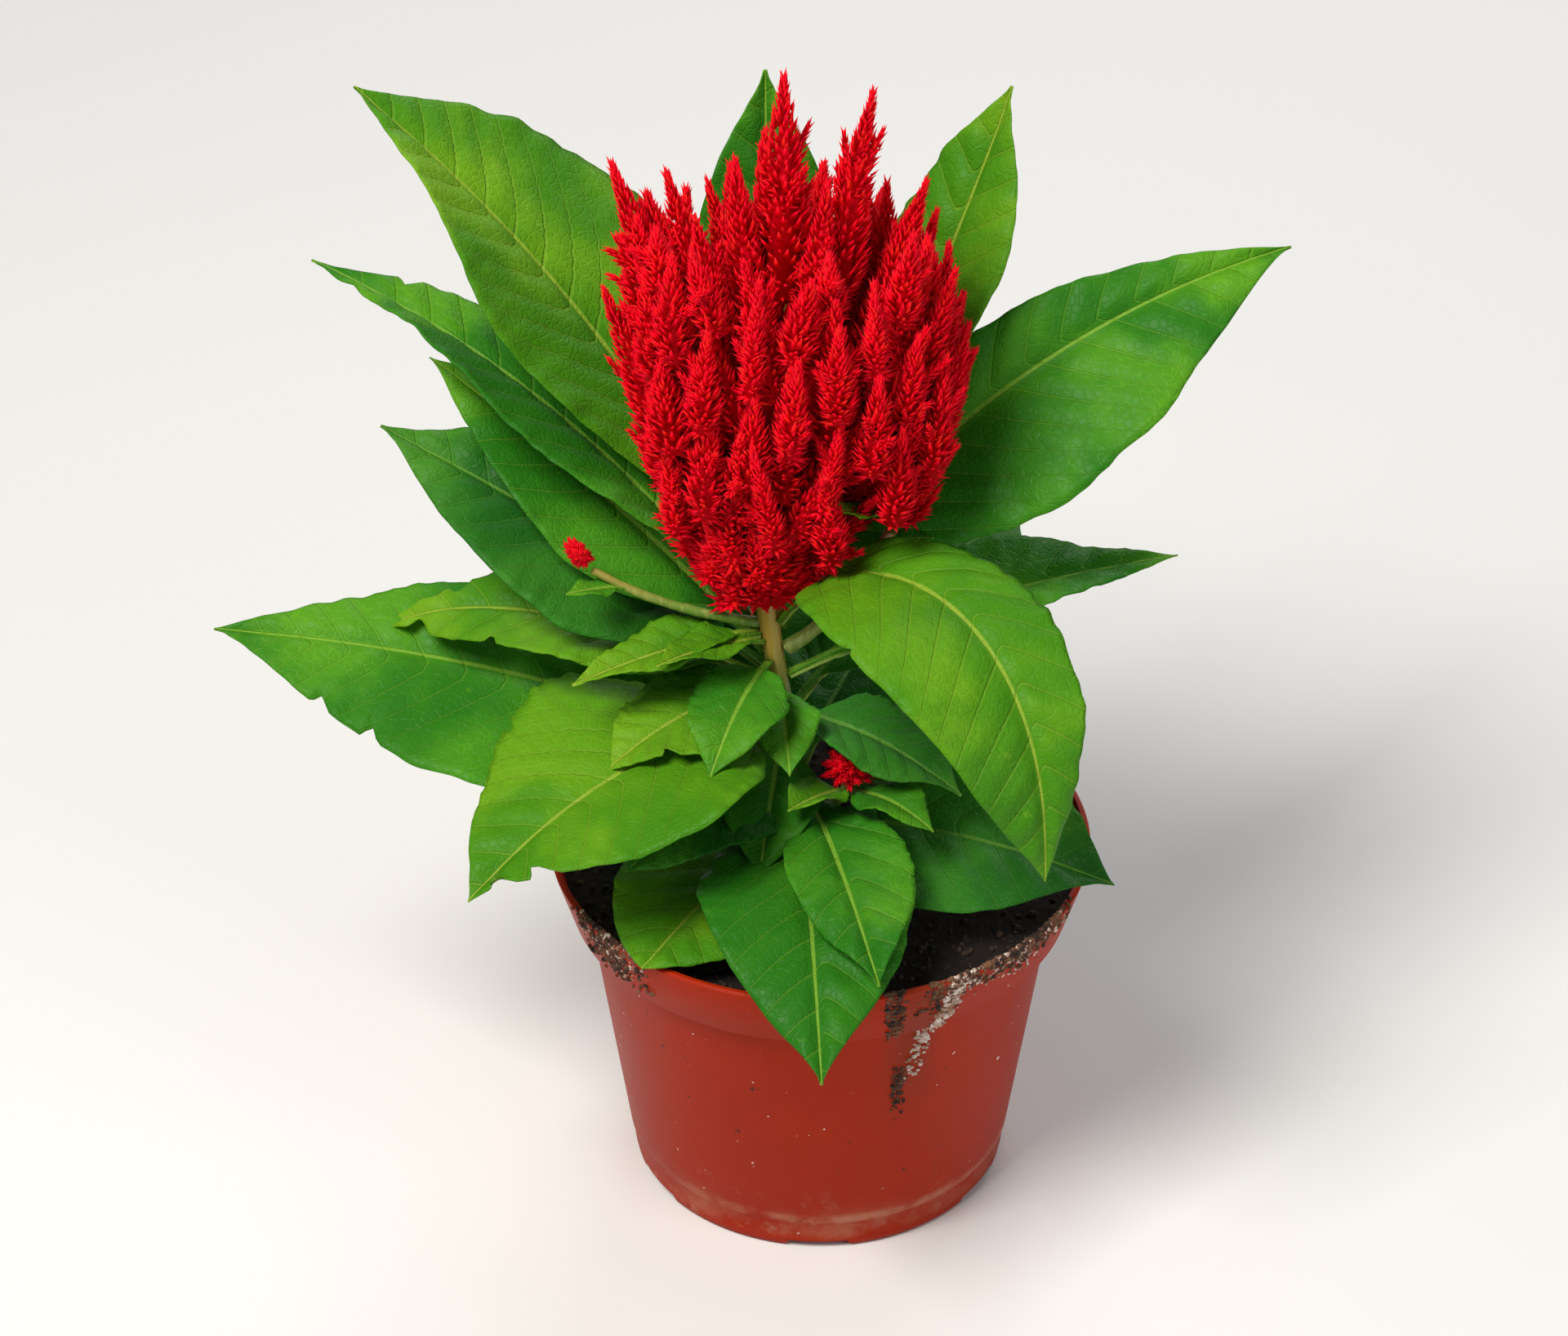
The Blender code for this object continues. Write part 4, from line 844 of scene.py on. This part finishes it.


# The first colour is the darker red used as painted shade, the last the pink used as painted highlight.
def make_plume_material(name, painted_shade_red, red, point):
    material, tree, shader = new_material(name)
    place = add_node(tree, "ShaderNodeTexCoord").outputs["Object"]
    bract = add_node(tree, "ShaderNodeAttribute", attribute_name="bract").outputs["Vector"]
    parts = add_node(tree, "ShaderNodeSeparateXYZ", {0: bract}).outputs
    # Painted shade: a darker red where the third value of the bract attribute is low, as on the core and the stalks.
    colour = mix_colour(tree, calculate(tree, "MULTIPLY", parts["Z"], 1.0), painted_shade_red, red)
    warm = smooth_range(tree, parts["X"], 0.62, 1.0)
    colour = mix_colour(tree, calculate(tree, "MULTIPLY", warm, 0.55), colour, (0.930, 0.028, 0.006))
    cool = smooth_range(tree, parts["X"], 0.30, 0.0)
    colour = mix_colour(tree, calculate(tree, "MULTIPLY", cool, 0.6), colour, (0.800, 0.000, 0.026))
    # Painted shade: the feet of the bracts, down among the others, darken towards the same darker red.
    foot = smooth_range(tree, parts["Y"], 0.45, 0.0)
    colour = mix_colour(tree, calculate(tree, "MULTIPLY", foot, 0.35), colour, painted_shade_red)
    # Painted highlight: pinkish points on part of the bracts.
    painted_point_highlight = calculate(tree, "MULTIPLY", smooth_range(tree, parts["Y"], 0.72, 1.0), smooth_range(tree, parts["X"], 0.35, 0.8))
    colour = mix_colour(tree, calculate(tree, "MULTIPLY", painted_point_highlight, 0.5), colour, point)
    cloud = add_node(tree, "ShaderNodeTexNoise", {"Vector": place, "Scale": 90.0, "Detail": 4.0})
    colour = mix_colour(tree, calculate(tree, "MULTIPLY", smooth_range(tree, cloud.outputs["Fac"], 0.5, 0.72), 0.35),
                        colour, (0.900, 0.004, 0.035))
    tree.links.new(colour, shader.inputs["Base Color"])
    rough = calculate(tree, "MULTIPLY_ADD", parts["X"], 0.2, 0.45)
    tree.links.new(rough, shader.inputs["Roughness"])
    shader.inputs["Specular IOR Level"].default_value = 0.10
    grain = add_node(tree, "ShaderNodeTexNoise", {"Vector": place, "Scale": 2400.0, "Detail": 2.0})
    bump = add_node(tree, "ShaderNodeBump", {"Height": grain.outputs["Fac"], "Strength": 0.35, "Distance": 0.12 * MM})
    tree.links.new(bump.outputs["Normal"], shader.inputs["Normal"])
    through = add_node(tree, "ShaderNodeBsdfTranslucent", {"Color": colour})
    blend = add_node(tree, "ShaderNodeMixShader", {0: 0.34, 1: shader.outputs[0], 2: through.outputs[0]})
    tree.links.new(blend.outputs[0], tree.nodes["Material Output"].inputs["Surface"])
    return material


# The last colour is the pink of the painted highlight at the points; the first is the darker red of the painted shade.
plume_red = make_plume_material("plume_red", (0.700, 0.000, 0.010), (0.960, 0.001, 0.018), (1.000, 0.090, 0.110))

# A filler body inside the head, in the darker red of the painted shade.
core_bm = bmesh.new()
core_layer = core_bm.verts.layers.float_vector.new("bract")
bmesh.ops.create_icosphere(core_bm, subdivisions=4, radius=1.0)
for vert in core_bm.verts:
    height = 182.0 + 34.0 * vert.co.z
    centre, wide, deep = plume_row(max(150.0, height))
    around = Vector((vert.co.x, vert.co.y, 0.0))
    vert.co = Vector((centre + 0.42 * wide * around.x, 0.42 * deep * around.y, height)) * MM
    vert[core_layer] = (0.1, 0.0, 0.0)
plume_core = add_piece(core_bm, "plume_core", [plume_red], 180.0)
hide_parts("plume")

shape_rng = random.Random(7)
bract_rng = random.Random(31)
spikes = []
for k, tip in enumerate(TALL_TIPS):
    tip = Vector(tip) * MM
    foot = Vector((0.55 * tip.x - 4.0 * MM, 0.5 * tip.y, tip.z - 50.0 * MM))
    spikes.append((foot, tip, 7.2 * MM * (1.15 if k == 0 else 1.0), 190, 5))
for k in range(SIDE_SPIKES):
    share = (k + 0.5) / SIDE_SPIKES
    height = 158.0 + 88.0 * share ** 0.9
    centre, wide, deep = plume_row(height)
    angle = math.radians(137.5 * k + 20.0)
    reach = shape_rng.uniform(0.88, 1.02)
    tip = Vector((centre + reach * wide * math.cos(angle), reach * deep * math.sin(angle), height)) * MM
    foot_height = max(150.0, height - 40.0 * shape_rng.uniform(0.85, 1.1))
    low, low_wide, low_deep = plume_row(foot_height)
    foot = Vector((low + 0.6 * low_wide * math.cos(angle), 0.6 * low_deep * math.sin(angle), foot_height)) * MM
    radius = 6.4 * MM * shape_rng.uniform(0.85, 1.15) * min(1.0, 0.4 + (height - 150.0) / 50.0)
    spikes.append((foot, tip, radius, 120, 4))
# Smaller spikes that stand close on the face of the head, and the low right lobe over its own stalk.
for k in range(78):
    share = (k + 0.5) / 78
    height = 160.0 + 84.0 * share
    centre, wide, deep = plume_row(height)
    angle = math.radians(137.5 * k + 63.0)
    reach = bract_rng.uniform(0.78, 0.92) * min(1.0, 0.42 + (height - 160.0) / 40.0)
    if height < 180.0 and math.cos(angle) > 0.1:
        continue
    foot = Vector((centre + reach * wide * math.cos(angle), reach * deep * math.sin(angle), height - 14.0)) * MM
    rise = bract_rng.uniform(22.0, 31.0) * min(1.0, 1.0 - (height - 222.0) / 50.0) * MM
    sway = bract_rng.uniform(-0.16, 0.16)
    out = Vector((math.cos(angle + sway) * 0.16 + sway, math.sin(angle + sway) * 0.16, 1.0)).normalized()
    spikes.append((foot, foot + out * rise, 5.4 * MM * min(1.0, 0.45 + (height - 160.0) / 45.0) * bract_rng.uniform(0.65, 1.2), 110, 2))
LOBE_SPIKES = (
    ((12, -3, 176), (27, -8, 206), 5.6), ((13, -7, 178), (21, -15, 205), 5.4), ((9, -7, 181), (11, -17, 208), 5.0),
    ((14, 0, 176), (32, -1, 210), 5.6), ((17, -5, 176), (28, -10, 192), 4.4), ((14, -8, 176), (20, -14, 189), 4.0),
    ((14, 4, 177), (29, 9, 205), 5.4), ((12, 8, 179), (20, 16, 207), 5.2),
)
for foot, tip, radius in LOBE_SPIKES:
    spikes.append((Vector(foot) * MM, Vector(tip) * MM, radius * MM, 130, 2))
# Short tufts round the neck, where the head narrows to the stem.
for k in range(16):
    angle = math.radians(137.5 * k)
    height = 149.0 + 16.0 * k / 16
    centre, wide, deep = plume_row(height)
    foot = Vector((centre, 0.0, height)) * MM
    out = Vector((math.cos(angle) * wide * 0.7, math.sin(angle) * deep * 0.7, 6.0)) * MM
    spikes.append((foot, foot + out, 3.2 * MM, 60, 0))
PLUME_PARTS = 4
plume_bms = [bmesh.new() for k in range(PLUME_PARTS)]
for k, (foot, tip, radius, count, branches) in enumerate(spikes):
    target = plume_bms[k % PLUME_PARTS]
    join_into(target, spike(bract_rng, foot, tip, radius, int(count * 1.7), 0.02))
    axis = tip - foot
    for j in range(branches):
        share = 0.22 + 0.38 * j / max(1, branches)
        angle = bract_rng.uniform(0.0, math.tau)
        side = axis.cross(Vector((math.cos(angle), math.sin(angle), 0.35))).normalized()
        start = foot + axis * share
        spread = bract_rng.uniform(0.80, 1.25) * (0.65 if k < len(TALL_TIPS) else 1.0)
        end = start + axis * bract_rng.uniform(0.20, 0.34) + side * radius * spread
        join_into(target, spike(bract_rng, start, end, radius * 0.48, 46, 0.04, 3.4))
for k, bm in enumerate(plume_bms):
    plume = add_piece(bm, "plume_spikes_%d" % k, [plume_red], 180.0)
    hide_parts("plume")


# Young flower heads. One knob in front of the stem and a slimmer one low on the left, with the same bracts, small and
# tight.
BUDS = {"bud_front": ("front_shoot", 5.8, 9.5, 0), "bud_left": ("left_shoot", 2.0, 9.5, 35)}
for name, (owner, radius, height, lean) in BUDS.items():
    tilt = Matrix.Rotation(math.radians(-lean), 3, "Y")
    centre = Vector(SHOOTS[owner][1]) * MM + tilt @ Vector((0.0, 0.0, 0.38 * height + 0.5)) * MM
    bud_bm = bmesh.new()
    for k in range(34):
        up = -0.35 + 1.3 * (k + 0.5) / 34
        flat = math.sqrt(max(0.0, 1.0 - up * up))
        angle = math.radians(137.5 * k)
        way = tilt @ Vector((flat * math.cos(angle) * radius, flat * math.sin(angle) * radius, up * height * 0.56)) * MM
        join_into(bud_bm, spike(bract_rng, centre + way * 0.25, centre + way * 1.04, radius * 0.34 * MM, 26, 0.1, 2.2))
    bud = add_piece(bud_bm, name + "_bracts", [plume_red], 180.0)
    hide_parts(name)


# Floor, light and camera. A plain pale floor, one large soft light above the front left and a weaker one on the
# right, and the camera where the photograph was taken: above, in front, looking down on the plant.
floor_bm = bmesh.new()
bmesh.ops.create_grid(floor_bm, x_segments=2, y_segments=2, size=3.0)
floor_mesh = bpy.data.meshes.new("floor")
floor_bm.to_mesh(floor_mesh)
floor_bm.free()
floor = bpy.data.objects.new("floor", floor_mesh)
bpy.context.scene.collection.objects.link(floor)
floor_paint, floor_tree, floor_shader = new_material("floor_paint")
floor_shader.inputs["Base Color"].default_value = (0.78, 0.77, 0.75, 1.0)
floor_shader.inputs["Roughness"].default_value = 0.9
floor_mesh.materials.append(floor_paint)


def add_light(name, place, target, size, power, colour):
    lamp = bpy.data.lights.new(name, "AREA")
    lamp.size = size
    lamp.energy = power
    lamp.color = colour
    holder = bpy.data.objects.new(name, lamp)
    bpy.context.scene.collection.objects.link(holder)
    holder.location = place
    holder.rotation_euler = (Vector(target) - Vector(place)).to_track_quat("-Z", "Y").to_euler()


add_light("main_light", (-0.55, -0.62, 1.35), (0.0, 0.0, 0.14), 0.6, 25.0, (1.0, 0.97, 0.92))
add_light("fill_light", (0.95, -0.75, 0.75), (0.0, 0.0, 0.12), 0.9, 4.0, (0.95, 0.98, 1.0))
add_light("back_light", (0.3, 1.0, 0.9), (0.0, 0.0, 0.16), 0.8, 6.0, (1.0, 1.0, 1.0))
world = bpy.data.worlds.new("studio")
world.use_nodes = True
world.node_tree.nodes["Background"].inputs["Color"].default_value = (0.92, 0.95, 1.0, 1.0)
world.node_tree.nodes["Background"].inputs["Strength"].default_value = 0.20
bpy.context.scene.world = world
bpy.context.scene.view_settings.view_transform = "Standard"

camera_data = bpy.data.cameras.new("camera")
camera_data.lens = 109.1
camera_data.sensor_width = 36.0
camera = bpy.data.objects.new("camera", camera_data)
bpy.context.scene.collection.objects.link(camera)
camera.location = (0.0, -0.850, 0.711)
camera.rotation_euler = (Vector((-0.008, 0.0, 0.129)) - camera.location).to_track_quat("-Z", "Y").to_euler()
bpy.context.scene.camera = camera

bpy.context.view_layer.update()
